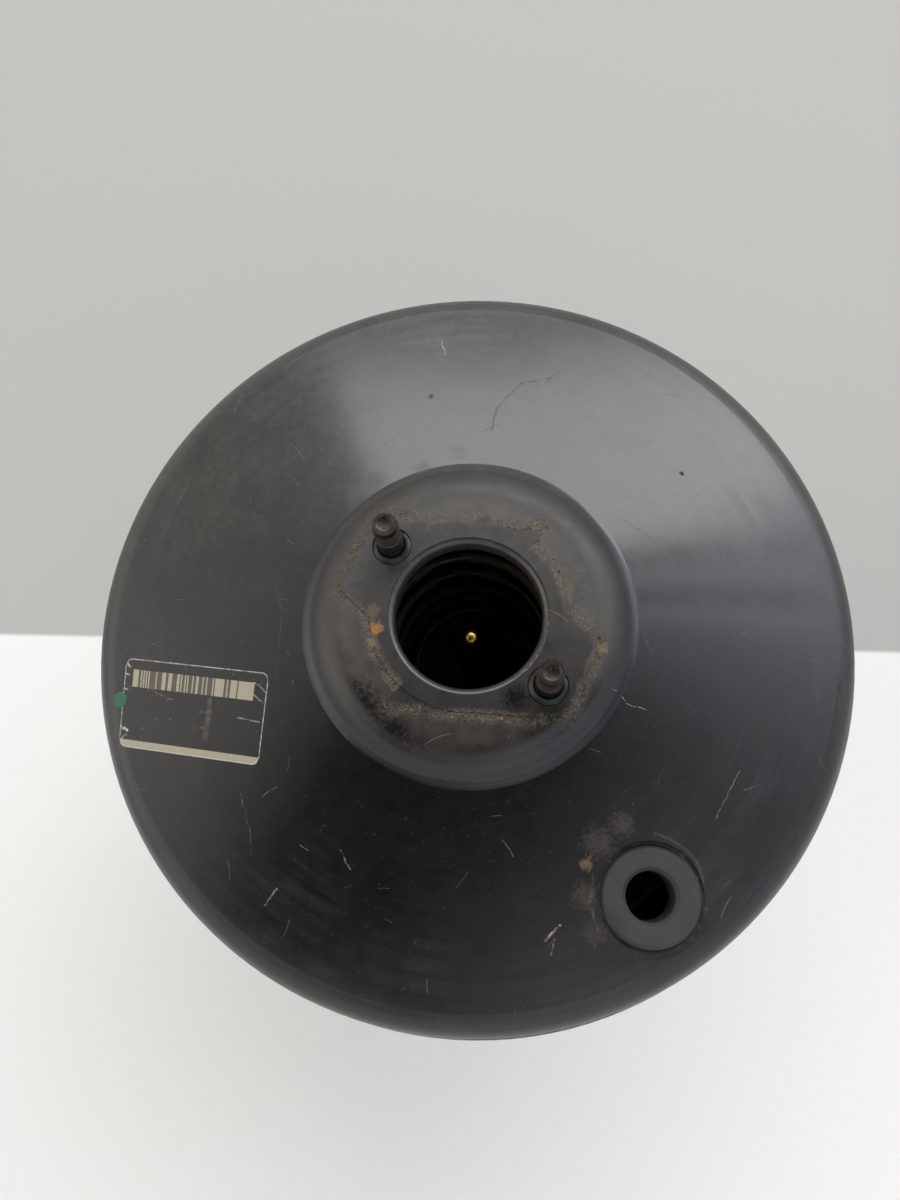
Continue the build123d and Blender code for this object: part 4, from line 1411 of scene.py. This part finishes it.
# ------------------------------------------------------------------------------ shells
@dataclass
class FrontFace:
    """The front shell's outside, as a height over the place seen along the axis."""

    pad: float = 111.6
    boss_edge: float = 46.0
    foot_radius: float = 50.5
    foot_height: float = 105.8
    slope: float = math.tan(math.radians(8.0))
    bend_start: float = 114.75
    bend_middle: Corner = (113.5, 87.86)
    bend_radius: float = 9.0

    def height(self, x: float, y: float) -> float:
        """Height of the surface.

        Args:
            x: place to the right, in millimetres.
            y: place towards the far side.

        Returns:
            The height in millimetres.
        """
        reach = math.hypot(x, y)
        if reach < self.boss_edge:
            return self.pad
        if reach < self.bend_start:
            return self.foot_height - (reach - self.foot_radius) * self.slope
        out = min(reach - self.bend_middle[0], self.bend_radius - 0.01)
        return self.bend_middle[1] + math.sqrt(self.bend_radius**2 - out**2)

    def normal(self, x: float, y: float, step: float = 0.05) -> Vector:
        """Direction out of the surface.

        Args:
            x: place to the right, in millimetres.
            y: place towards the far side.
            step: how far off the height is sampled.

        Returns:
            The direction.
        """
        along = (self.height(x + step, y) - self.height(x - step, y)) / (2 * step)
        up = (self.height(x, y + step) - self.height(x, y - step)) / (2 * step)
        return Vector((-along, -up, 1)).normalized()

    def lifted(self, x: float, y: float, gap: float) -> tuple:
        """Point above the surface, in metres."""
        return tuple((Vector((x, y, self.height(x, y))) + self.normal(x, y) * gap) * MM)


@dataclass
class Shells:
    """Front and rear shells with their plates, the label and the dirt on the front."""

    label_width: float = 50.5
    label_height: float = 26.3
    label_corners: tuple[Corner, ...] = (
        (-110.4, -9.3),
        (-62.1, -16.1),
        (-64.5, -44.3),
        (-110.7, -37.4),
    )
    label_bend: float = 2.4
    label_floor: float = 0.02
    label_top: float = 0.12
    label_grid: tuple[int, int] = (84, 44)
    dab_at: Corner = (-111.4, -22.9)
    dab_radius: float = 2.35
    dab_top: float = 0.22
    dab_stretch: float = 1.15
    dab_sides: int = 28
    dab_rings: tuple[Corner, ...] = ((0.6, 0.2), (0.92, 0.17), (1.0, 0.02))
    crumbs: int = 260
    # each zone of crumbs: its two ends in degrees, and its share of them
    crumb_zones: tuple = ((195, 312, 0.62), (340, 356, 0.14), (25, 75, 0.12), (168, 190, 0.12))
    seed: int = 12
    front: FrontEnamelFinish = FrontEnamelFinish("black_enamel_on_drawn_steel_worn")
    rear: EnamelFinish = EnamelFinish("black_enamel_on_drawn_steel")
    pressed: MetalFinish = MetalFinish(
        "pressed_steel_oiled", "#8d8b86", "#6d6a64", "#4a3527", 0.34, 0.42
    )
    dab: PaintDabFinish = PaintDabFinish("green_acrylic_paint_dab")
    grit: GritFinish = GritFinish("dried_road_dirt")

    def build(self, maker: Maker) -> None:
        """Dress the shells and their plates, and lay the label and the dirt on them.

        Args:
            maker: the maker.
        """
        maker.carried_over("front_shell", self.front)
        maker.carried_over("rear_shell", self.rear)
        for node in ("front_reinforcement", "rear_reinforcement", "seal_retainer"):
            maker.carried_over(node, self.pressed)
        face = FrontFace()
        self.label(maker, face)
        self.paint_dab(maker, face)
        self.road_grit(maker, face)

    def label(self, maker: Maker, face: FrontFace) -> None:
        """Lay the rectangular label on the cone and down its rim, as a thin closed film.

        Args:
            maker: the maker.
            face: the surface below.
        """
        corners = [Vector(corner) for corner in self.label_corners]
        columns, rows = self.label_grid
        grid, places = [], []
        for row in range(rows + 1):
            for column in range(columns + 1):
                place = self.rounded_place(column / columns, row / rows)
                u, v = place[0] / self.label_width, place[1] / self.label_height
                upper, lower = corners[0].lerp(corners[1], u), corners[3].lerp(corners[2], u)
                grid.append(upper.lerp(lower, v))
                places.append(place)
        gaps = (self.label_top, self.label_floor)
        verts = [face.lifted(*place, gap) for gap in gaps for place in grid]
        count, line = len(grid), columns + 1
        faces = []
        for row in range(rows):
            for column in range(columns):
                low = row * line + column
                faces.append((low, low + line, low + line + 1, low + 1))
                faces.append(tuple(count + c for c in (low, low + 1, low + line + 1, low + line)))
        rim = [*range(columns), *range(columns, count - 1, line)]
        rim += [*range(count - 1, count - line, -1), *range(count - line, 0, -line)]
        for here, ahead in zip(rim, rim[1:] + rim[:1]):
            faces.append((here, ahead, count + ahead, count + here))
        piece = object_from("rating_label", verts, faces, 50.0)
        layer = piece.data.uv_layers.new(name="millimetres")
        for loop in piece.data.loops:
            layer.data[loop.index].uv = places[loop.vertex_index % count]
        size = (self.label_width, self.label_height, self.label_bend)
        kind = LabelFinish("printed_polyester_label", *size)
        maker.placed(piece, kind, "black_painted_steel", Body.HOUSING)

    def rounded_place(self, u: float, v: float) -> Corner:
        """Place on the label, drawn in at its rounded corners.

        Args:
            u: share of the label's width.
            v: share of its height.

        Returns:
            The place in millimetres.
        """
        x, bend = u * self.label_width, self.label_bend
        side = min(x, self.label_width - x)
        inset = 0.0
        if side < bend:
            inset = bend - math.sqrt(max(0.0, bend**2 - (bend - side) ** 2))
        return x, inset + (self.label_height - 2 * inset) * v

    def paint_dab(self, maker: Maker, face: FrontFace) -> None:
        """Make the inspector's dab of paint over the label's edge.

        Args:
            maker: the maker.
            face: the surface below.
        """
        chance = random.Random(self.seed)
        verts, faces = [face.lifted(*self.dab_at, self.dab_top)], []
        count = self.dab_sides
        wobble = [1 + 0.05 * chance.uniform(-1, 1) for _ in range(count)]
        for share, gap in self.dab_rings:
            for index in range(count):
                angle = math.tau * index / count
                reach = self.dab_radius * share * wobble[index]
                x = self.dab_at[0] + reach * math.cos(angle)
                y = self.dab_at[1] + reach * math.sin(angle) * self.dab_stretch
                verts.append(face.lifted(x, y, gap))
        last = len(self.dab_rings) - 1
        for index in range(count):
            after = (index + 1) % count
            faces.append((0, 1 + index, 1 + after))
            for low in range(1, 1 + last * count, count):
                high = low + count
                faces.append((low + index, high + index, high + after, low + after))
        faces.append(tuple(1 + last * count + index for index in range(count))[::-1])
        piece = object_from("inspection_paint_dab", verts, faces, 60.0)
        maker.placed(piece, self.dab, "black_painted_steel", Body.HOUSING)

    def road_grit(self, maker: Maker, face: FrontFace) -> None:
        """Scatter crumbs of dirt along the outline of the flange that was bolted on.

        Args:
            maker: the maker.
            face: the surface below.
        """
        chance = random.Random(self.seed)
        work = bmesh.new()
        for _ in range(self.crumbs):
            zone = chance.choices(self.crumb_zones, [zone[2] for zone in self.crumb_zones])[0]
            angle = math.radians(chance.uniform(zone[0], zone[1]))
            reach = self.outline_reach(angle) + abs(chance.gauss(0.6, 1.1))
            x, y = reach * math.cos(angle), reach * math.sin(angle)
            if math.hypot(x, y) > face.boss_edge - 3:
                continue
            size = chance.uniform(0.18, 0.42) * (1.6 if chance.random() < 0.1 else 1.0)
            lump = bmesh.ops.create_icosphere(work, subdivisions=1, radius=size * MM)["verts"]
            flat = chance.uniform(0.35, 0.7)
            for vert in lump:
                vert.co *= chance.uniform(0.7, 1.2)
                vert.co.z *= flat
                vert.co += Vector(face.lifted(x, y, size * flat * 0.5))
        mesh = bpy.data.meshes.new("road_grit")
        work.to_mesh(mesh)
        work.free()
        mesh.shade_smooth()
        piece = bpy.data.objects.new("road_grit", mesh)
        bpy.context.scene.collection.objects.link(piece)
        maker.placed(piece, self.grit, "black_painted_steel", Body.HOUSING)

    def outline_reach(self, angle: float) -> float:
        """Radius of the flange's outline in one direction.

        Args:
            angle: the direction, in radians.

        Returns:
            The radius in millimetres.
        """
        turn = angle - math.radians(self.front.stud_angle)
        x, y = math.cos(turn), math.sin(turn)
        if x < 0:
            x, y = -x, -y
        faces = [(nx * x + ny * y, reach) for nx, ny, _, reach in self.front.pad_faces]
        limits = [reach / towards for towards, reach in faces if towards > 0.02]
        return max(self.front.pad_radius, min(limits, default=0.0) - 1.5)


@dataclass
class MountingStuds:
    """Studs pressed through the shells: two for the master cylinder, four for the bulkhead."""

    thread_radius: float = 4.0
    shank_radius: float = 4.6
    head_radius: float = 6.0
    head_height: float = 2.0
    pitch: float = 1.25
    thread_depth: float = 0.7
    ring_step: float = 0.16
    chamfer: float = 0.5
    front_circle: float = 32.4
    front_angle: float = 136.9
    front_floor: float = 107.1
    front_plane: float = 112.0
    front_dimple: float = 0.5
    front_thread_floor: float = 123.6
    front_dog: float = 3.0
    front_dog_radius: float = 3.6
    front_reach: float = 20.0
    pool_radius: float = 6.1
    dish_radius: float = 2.9
    dish_depth: float = 0.5
    rear_spacing: Corner = (80.0, 60.0)
    rear_plate_top: float = 3.5
    rear_reach: float = 24.0
    steel: PaintedStudFinish = PaintedStudFinish("rolled_stud_steel_part_painted")
    zinc: MetalFinish = MetalFinish(
        "clear_zinc_on_rolled_thread", "#b4b6b6", "#95979a", "#8f8878", 0.3, 0.42
    )

    def build(self, maker: Maker) -> None:
        """Make both sets of studs.

        Args:
            maker: the maker.
        """
        turns = [math.radians(self.front_angle + 180 * index) for index in range(2)]
        places = [(self.front_circle * math.cos(a), self.front_circle * math.sin(a)) for a in turns]
        front = turned(
            "master_cylinder_stud_pair", self.front_outline(), 72, False, self.pitch, places
        )
        maker.placed(front, self.steel, "stud_steel", Body.HOUSING, "master_cylinder_studs")
        x, y = self.rear_spacing[0] / 2, self.rear_spacing[1] / 2
        corners = [(x, y), (-x, y), (-x, -y), (x, -y)]
        rear = turned("bulkhead_stud_set", self.rear_outline(), 60, False, self.pitch, corners)
        maker.placed(rear, self.zinc, "zinc_plated_steel", Body.HOUSING, "bulkhead_studs")

    def front_outline(self) -> list[tuple]:
        """Outline of a master cylinder stud, with the pool of enamel at its foot.

        Returns:
            Its points, from the middle of its head to its dished tip.
        """
        top, thread = self.front_plane + self.front_reach, self.front_thread_floor
        dog, shoulder = top - self.front_dog, self.front_plane - self.front_dimple
        head = self.front_floor + self.head_height
        root = self.thread_radius - self.thread_depth + 0.1
        threaded = steps_between(thread, dog, self.ring_step)
        return [
            (0, self.front_floor),
            (self.head_radius - self.chamfer, self.front_floor),
            (self.head_radius, self.front_floor + self.chamfer),
            (self.head_radius, head),
            (self.shank_radius, head),
            (self.shank_radius, shoulder),
            (self.pool_radius, shoulder + 0.05),
            (5.2, shoulder + 0.35),
            (4.5, shoulder + 0.9),
            (self.thread_radius + 0.12, shoulder + 1.8),
            (self.thread_radius, thread - 2.2),
            (root, thread - 1.7),
            (root, thread - 0.3),
            *((self.thread_radius, height, self.thread_depth) for height in threaded),
            (self.front_dog_radius - 0.3, dog + 0.1),
            (self.front_dog_radius, dog + 0.5),
            (self.front_dog_radius, top - 0.3),
            (self.front_dog_radius - 0.3, top),
            (self.dish_radius, top),
            (self.dish_radius - 0.4, top - 0.35),
            (self.dish_radius - 1.0, top - self.dish_depth),
            (0, top - self.dish_depth),
        ]

    def rear_outline(self) -> list[tuple]:
        """Outline of a bulkhead stud.

        Returns:
            Its points, from the middle of its head to its tip.
        """
        top = self.rear_plate_top + self.head_height
        threaded = steps_between(-2.1, 0.8 - self.rear_reach, self.ring_step)
        return [
            (0, top),
            (self.head_radius - self.chamfer, top),
            (self.head_radius, top - self.chamfer),
            (self.head_radius, self.rear_plate_top),
            (self.shank_radius, self.rear_plate_top),
            (self.shank_radius, 0),
            (self.thread_radius, 0),
            (self.thread_radius, -2.0),
            *((self.thread_radius, height, self.thread_depth) for height in threaded),
            (self.thread_radius - 0.8, -self.rear_reach),
            (0, -self.rear_reach),
        ]


@dataclass
class CheckValveGrommet:
    """Rubber grommet in the front shell, into which the check valve's spigot is pushed."""

    bore: float = 7.2
    flange: float = 14.7
    groove: float = 11.4
    lip: float = 13.2
    chamfer: float = 1.2
    seat: float = 97.609
    gauge: float = 1.6
    thickness: float = 2.4
    depth: float = 12.0
    dirt_gap: float = 0.55
    dirt_reach: float = 17.25
    dirt_sides: int = 120
    dirt_rings: int = 5
    seed: int = 5
    rubber: RubberFinish = RubberFinish("moulded_epdm_rubber", "#343435", "#4d4b47", 0.5)
    dirt: GritFinish = GritFinish(
        "packed_road_dirt", ((0, "#262626"), (0.5, "#313030"), (0.85, "#3d3935"), (1, "#574b38"))
    )

    def build(self, maker: Maker) -> None:
        """Make the grommet where its solid is.

        Args:
            maker: the maker.
        """
        low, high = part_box("check_valve_grommet")
        at = ((low[0] + high[0]) / 2 / MM, (low[1] + high[1]) / 2 / MM)
        top, under = self.seat + self.thickness, self.seat - self.gauge
        foot = self.seat - self.depth
        outline = [
            (self.bore, foot + 3, 0),
            (self.bore, top - self.chamfer, 0.5),
            (self.bore + self.chamfer, top, 0.4),
            (self.flange - self.chamfer, top, 0.4),
            (self.flange, top - self.chamfer, 0.4),
            (self.flange, self.seat, 0.15),
            (self.groove, self.seat, 0.15),
            (self.groove, under, 0.15),
            (self.lip, under, 0.5),
            (self.groove, foot, 0.6),
            (self.bore, foot, 0.4),
            (self.bore, foot + 3, 0),
        ]
        ring = turned("check_valve_grommet_ring", rounded(outline)[:-1], 128, places=[at])
        maker.placed(ring, self.rubber, "grommet_rubber", Body.HOUSING, "check_valve_grommet")
        self.packed_dirt(maker, at)

    def packed_dirt(self, maker: Maker, at: Corner) -> None:
        """Fill the deep side of the seat, round the flange, with dirt.

        Args:
            maker: the maker.
            at: the grommet's middle, in millimetres.
        """
        face, chance = FrontFace(), random.Random(self.seed)
        count, rings = self.dirt_sides, self.dirt_rings
        near, last = self.flange + 0.05, self.dirt_rings - 1
        upper, lower = [], []
        for index in range(count):
            angle = math.tau * index / count
            for ring in range(rings):
                reach = near + (self.dirt_reach - near) * ring / last
                x, y = at[0] + reach * math.cos(angle), at[1] + reach * math.sin(angle)
                top = face.height(x, y) - self.dirt_gap - chance.uniform(0, 0.25)
                top = max(self.seat + 0.05, min(top, self.seat + self.thickness - 0.5))
                upper.append((x * MM, y * MM, top * MM))
                lower.append((x * MM, y * MM, (self.seat + 0.02) * MM))
        faces, base = [], len(upper)
        for index in range(count):
            here, ahead = index * rings, (index + 1) % count * rings
            for ring in range(last):
                quad = (here + ring, here + ring + 1, ahead + ring + 1, ahead + ring)
                faces += [quad, tuple(base + corner for corner in reversed(quad))]
            faces.append((here, ahead, base + ahead, base + here))
            faces.append((ahead + last, here + last, base + here + last, base + ahead + last))
        dirt = object_from("grommet_seat_dirt", upper + lower, faces, 80.0)
        maker.placed(dirt, self.dirt, "black_painted_steel", Body.HOUSING)


# ------------------------------------------------------------------------------ neck
@dataclass
class Neck:
    """Guide, lip seal and dust boot round the valve body's tail."""

    guide_outer: float = 27.95
    tail: float = 20.0
    seal_low: float = -9.5
    seal_high: float = -2.5
    wall: float = 2.4
    boot_wall: float = 1.2
    boot_top: float = -4.0
    fold_top: float = -18.2
    fold_bottom: float = -63.0
    boot_end: float = -70.0
    neck: float = 29.6
    folds: int = 4
    valley: float = 25.0
    peak: float = 33.0
    rubber: RubberFinish = RubberFinish("moulded_nitrile_rubber", "#1b1b1c", "#4b4a47")
    boot: RubberFinish = RubberFinish("blow_moulded_boot_rubber", "#202021", "#57544e", 0.55)
    acetal: MouldingFinish = MouldingFinish("injection_moulded_acetal", "#d9d6cc", "#bdb8a8", 0.4)

    def build(self, maker: Maker) -> None:
        """Make the seal and the boot, and dress the guide.

        Args:
            maker: the maker.
        """
        maker.carried_over("guide_ring", self.acetal)
        outer, wall, low, high = self.guide_outer, self.wall, self.seal_low, self.seal_high
        lip, tip = self.tail + 0.3, self.seal_high - self.wall / 2
        outline = [
            (outer, low + 2, 0),
            (outer, high, 0.5),
            (outer - wall, high, 0.8),
            (outer - wall, low + wall, 1.2),
            (lip + wall, low + wall, 1.2),
            (lip + wall / 2, tip, 0.5),
            (lip, tip, 0.4),
            (lip + 0.3, low, 0.5),
            (outer, low, 0.5),
            (outer, low + 2, 0),
        ]
        seal = turned("valve_body_lip_seal", rounded(outline)[:-1], 128)
        maker.placed(seal, self.rubber, "seal_rubber", Body.HOUSING, "valve_body_seal")
        self.bellows(maker)

    def bellows(self, maker: Maker) -> None:
        """Make the folded boot, which shortens as the power piston moves forward.

        Args:
            maker: the maker.
        """
        pitch = (self.fold_top - self.fold_bottom) / self.folds
        outline = [(self.neck, self.boot_top, 0), (self.neck, self.fold_top, 1.6)]
        for fold in range(self.folds):
            valley = self.fold_top - (fold + 0.25) * pitch
            outline += [(self.valley, valley, 1.8), (self.peak, valley - pitch / 2, 1.4)]
        outline[-1] = (self.tail + 0.1, self.fold_bottom, 1.4)
        outline.append((self.tail + 0.1, self.boot_end, 0))
        skin = rounded(outline, 6)
        boot = turned("dust_boot_bellows", thickened(skin, -self.boot_wall), 128)
        maker.stretched(boot, self.boot, "dust_boot")


# ------------------------------------------------------------------------------ power piston
@dataclass
class PowerPiston:
    """Valve body, diaphragm with its plate, reaction disc, output rod and return spring."""

    plate_seat: float = 15.5
    plate_gauge: float = 1.2
    membrane: float = 1.8
    bead_low: float = 61.5
    bead_high: float = 65.5
    bead_inner: float = 121.4
    bead_outer: float = 125.2
    wall_radius: float = 114.2
    wall_low: float = 25.3
    membrane_top: float = 64.0
    disc_radius: float = 11.5
    disc_low: float = 12.0
    disc_high: float = 18.0
    spring_radius: float = 27.2
    spring_wire: float = 3.6
    spring_turns: float = 6.0
    spring_top: float = 107.1
    phenolic: MouldingFinish = MouldingFinish("compression_moulded_phenolic", "#34221a", "#5f4130")
    rubber: RubberFinish = RubberFinish("fabric_backed_diaphragm_rubber", "#1d1d1e", "#45433f")
    disc: RubberFinish = RubberFinish("cast_reaction_rubber", "#262423", "#4b4843", 0.5)
    # painted shade: this dark grey is partly the plate's own dark finish and partly the shade
    # inside the shell
    plate: MetalFinish = MetalFinish(
        "dark_pressed_steel_painted_shade", "#55524c", "#3d3a35", "#4a3c2d", 0.45, 0.5
    )
    rod: TippedRodFinish = TippedRodFinish("brassy_turned_steel_painted_shade")
    # painted shade: this near-black is partly the wire's own dark finish and partly the shade
    # inside the shell
    wire: MetalFinish = MetalFinish(
        "dark_spring_wire_painted_shade", "#37332e", "#2a2723", "#30261c", 0.42, 0.55
    )

    def build(self, maker: Maker) -> None:
        """Make the soft pieces and the spring, and dress the rest.

        Args:
            maker: the maker.
        """
        maker.carried_over("valve_body", self.phenolic)
        maker.carried_over("output_rod", self.rod)
        for node in ("diaphragm_plate", "output_rod_retainer"):
            maker.carried_over(node, self.plate)
        membrane = turned("rolling_diaphragm", rounded(self.diaphragm(), 7)[:-1], 160)
        maker.stretched(membrane, self.rubber, "diaphragm")
        outline = [
            (0, self.disc_low, 0),
            (self.disc_radius, self.disc_low, 0.7),
            (self.disc_radius, self.disc_high, 0.7),
            (0, self.disc_high, 0),
        ]
        disc = turned("reaction_disc_puck", rounded(outline), 96, False)
        maker.placed(disc, self.disc, "seal_rubber", Body.PISTON, "reaction_disc")
        low, high = self.plate_seat + self.plate_gauge, self.spring_top
        size = (self.spring_radius, self.spring_wire, self.spring_turns)
        spring = coil("piston_return_spring", *size, low, high)
        maker.stretched(spring, self.wire, "return_spring")

    def diaphragm(self) -> list[Bend]:
        """Outline of the rolling diaphragm with its beads.

        Returns:
            Its corners with their bends, from the inner bead out and back along the underside.
        """
        seat, wall, top = self.plate_seat - 0.4, self.wall_radius, self.membrane_top
        bead, under, back = self.bead_inner, top - self.membrane, wall + self.membrane
        return [
            (24.4, 12.2, 0),
            (24.4, seat + 0.2, 0.6),
            (29.0, seat + 0.2, 0),
            (35.0, seat, 4),
            (44.0, 8.6, 4),
            (60.0, 8.6, 12),
            (108.5, 22.7, 2),
            (wall, self.wall_low, 5.5),
            (wall, top, 2.4),
            (bead + 0.1, top, 0),
            (bead, self.bead_high, 1.6),
            (self.bead_outer, self.bead_high, 1.2),
            (self.bead_outer, self.bead_low, 1.2),
            (bead, self.bead_low, 1.0),
            (bead, under + 0.1, 0),
            (back, under, 4),
            (back, self.wall_low - 1.0, 7),
            (109.0, 20.8, 2),
            (60.3, 6.8, 12),
            (43.2, 6.8, 4),
            (34.3, 12.3, 4),
            (30.0, 12.1, 0),
            (24.4, 12.2, 0),
        ]


# ------------------------------------------------------------------------------ control valve
@dataclass
class ControlValve:
    """Plunger, poppet, springs, cross key and filters in the valve body's tail."""

    poppet_bore: float = 7.2
    poppet_face: float = 13.4
    seat_height: float = -20.0
    poppet_back: float = -22.5
    shoulder: float = -34.0
    bead_bottom: float = -36.5
    bead_outer: float = 16.15
    pressing_spring: tuple[float, float, float] = (10.4, 1.2, 3.0)
    returning_spring: tuple[float, float, float] = (11.0, 1.6, 4.0)
    spring_back: float = -57.0
    spring_front: float = -38.0
    filter_bore: float = 8.6
    filter_outer: float = 16.0
    foam_top: float = -60.5
    foam_low: float = -65.0
    felt_low: float = -70.0
    rubber: RubberFinish = RubberFinish("moulded_poppet_rubber", "#1d1d1e", "#464440", 0.55)
    zinc: MetalFinish = MetalFinish(
        "clear_zinc_on_pressed_steel", "#b9bcbd", "#9a9d9f", "#8f8a80", 0.3, 0.4
    )
    steel: MetalFinish = MetalFinish("turned_steel", "#a3a19c", "#85827c", "#6b6358", 0.25, 0.4)
    foam: FibreFinish = FibreFinish("open_cell_polyether_foam", "#3b3b3d", "#0f0f10", 0.9, 0.5)
    felt: FibreFinish = FibreFinish("needled_wool_felt", "#8d887c", "#5e594f", 1.2, 0.35)
    wire: MetalFinish = PowerPiston.wire

    def build(self, maker: Maker) -> None:
        """Make the poppet, the springs and the filters, and dress the rest.

        Args:
            maker: the maker.
        """
        for node in ("poppet_retainer", "rod_spring_seat"):
            maker.carried_over(node, self.zinc)
        for node in ("cross_key", "valve_plunger"):
            maker.carried_over(node, self.steel)
        bore, back, front = self.poppet_bore, self.poppet_back, self.seat_height
        fold, bead = (back + self.shoulder) / 2, self.bead_bottom
        outline = [
            (bore, back, 0),
            (bore, front, 0.5),
            (self.poppet_face, front, 0.5),
            (self.poppet_face, back, 0.5),
            (bore + 1.2, back, 0.8),
            (bore + 2.4, fold, 3),
            (bore + 1.2, self.shoulder, 0.8),
            (self.bead_outer, self.shoulder, 0.5),
            (self.bead_outer, bead, 0.5),
            (bore, bead, 0.5),
            (bore, self.shoulder - 0.4, 0.5),
            (bore + 1.2, fold, 3),
            (bore, back, 0),
        ]
        poppet = turned("poppet_bellows", rounded(outline)[:-1], 96)
        pair, ends = (Body.PISTON, Body.PLUNGER), (self.shoulder, back)
        maker.stretched(poppet, self.rubber, "poppet_valve")
        small = coil("poppet_pressing_spring", *self.pressing_spring, *ends)
        maker.stretched(small, self.wire, "poppet_spring")
        ends = (self.spring_front, self.spring_back)
        large = coil("rod_returning_spring", *self.returning_spring, *reversed(ends))
        maker.stretched(large, self.wire, "rod_return_spring")
        foam, felt = (self.foam_low, self.foam_top), (self.felt_low, self.foam_low)
        self.filter(maker, "air_filter_ring", self.foam, foam, ("filter_foam", "air_filter"))
        self.filter(maker, "silencer_ring", self.felt, felt, ("silencer_felt", "silencer_felt"))

    def filter(
        self, maker: Maker, name: str, kind: FibreFinish, span: Corner, names: tuple[str, str]
    ) -> None:
        """Make a soft ring with a crowned face.

        Args:
            maker: the maker.
            name: name of the piece.
            kind: its finish.
            span: lowest and highest height.
            names: its material slot, and the CAD node that it stands for.
        """
        (low, high), (slot, node) = span, names
        outline = [
            (self.filter_bore, low + 1, 0),
            (self.filter_bore, high, 0.8),
            (self.filter_outer, high, 0.4),
            (self.filter_outer, low, 0.8),
            (self.filter_bore, low, 0.9),
            (self.filter_bore, low + 1, 0),
        ]
        ring = turned(name, rounded(outline)[:-1], 96)
        maker.placed(ring, kind, slot, Body.PISTON, node)


# ------------------------------------------------------------------------------ input rod
@dataclass
class InputRod:
    """Ball-ended input rod with its thread, lock nut and clevis."""

    ball_height: float = -14.0
    ball_radius: float = 4.6
    ball_steps: int = 16
    neck_radius: float = 3.0
    neck_end: float = -24.0
    radius: float = 5.0
    thread_start: float = -80.0
    end: float = -112.0
    pitch: float = 1.25
    thread_depth: float = 0.75
    ring_step: float = 0.16
    zinc: MetalFinish = MetalFinish(
        "clear_zinc_on_turned_steel", "#bcbfc0", "#9fa2a4", "#8f8a80", 0.26, 0.4
    )
    yellow: MetalFinish = MetalFinish(
        "yellow_zinc_on_forged_steel", "#c8b25e", "#b08f45", "#6b5a33", 0.3, 0.42
    )

    def build(self, maker: Maker) -> None:
        """Make the rod, and dress its fittings.

        Args:
            maker: the maker.
        """
        rod = turned("input_push_rod", self.outline(), 72, False, self.pitch)
        maker.placed(rod, self.zinc, "zinc_plated_steel", Body.ROD, "input_rod")
        for node in ("lock_nut", "clevis"):
            maker.carried_over(node, self.yellow)

    def outline(self) -> list[tuple]:
        """Outline of the rod.

        Returns:
            Its points, from the ball's pole to the thread's end.
        """
        ball, middle = self.ball_radius, self.ball_height
        meets = math.asin(self.neck_radius / ball)
        steps = [math.pi * step / self.ball_steps for step in range(self.ball_steps)]
        turns = [angle for angle in steps if angle < math.pi - meets]
        threaded = steps_between(self.thread_start, self.end + 0.7, self.ring_step)
        return [
            *((ball * math.sin(a), middle + ball * math.cos(a)) for a in turns),
            (self.neck_radius, middle - ball * math.cos(meets)),
            (self.neck_radius, self.neck_end),
            (self.radius, self.neck_end - 2.0),
            (self.radius, self.thread_start + 0.1),
            *((self.radius, height, self.thread_depth) for height in threaded),
            (self.radius - 0.8, self.end),
            (0, self.end),
        ]


def main() -> None:
    """Build the stage and every sub-assembly."""
    logging.basicConfig(level=logging.INFO)
    maker = Maker()
    Stage().build()
    groups = (Shells, MountingStuds, CheckValveGrommet, Neck, PowerPiston, ControlValve, InputRod)
    for group in groups:
        group().build(maker)


if __name__ == "__main__":
    main()
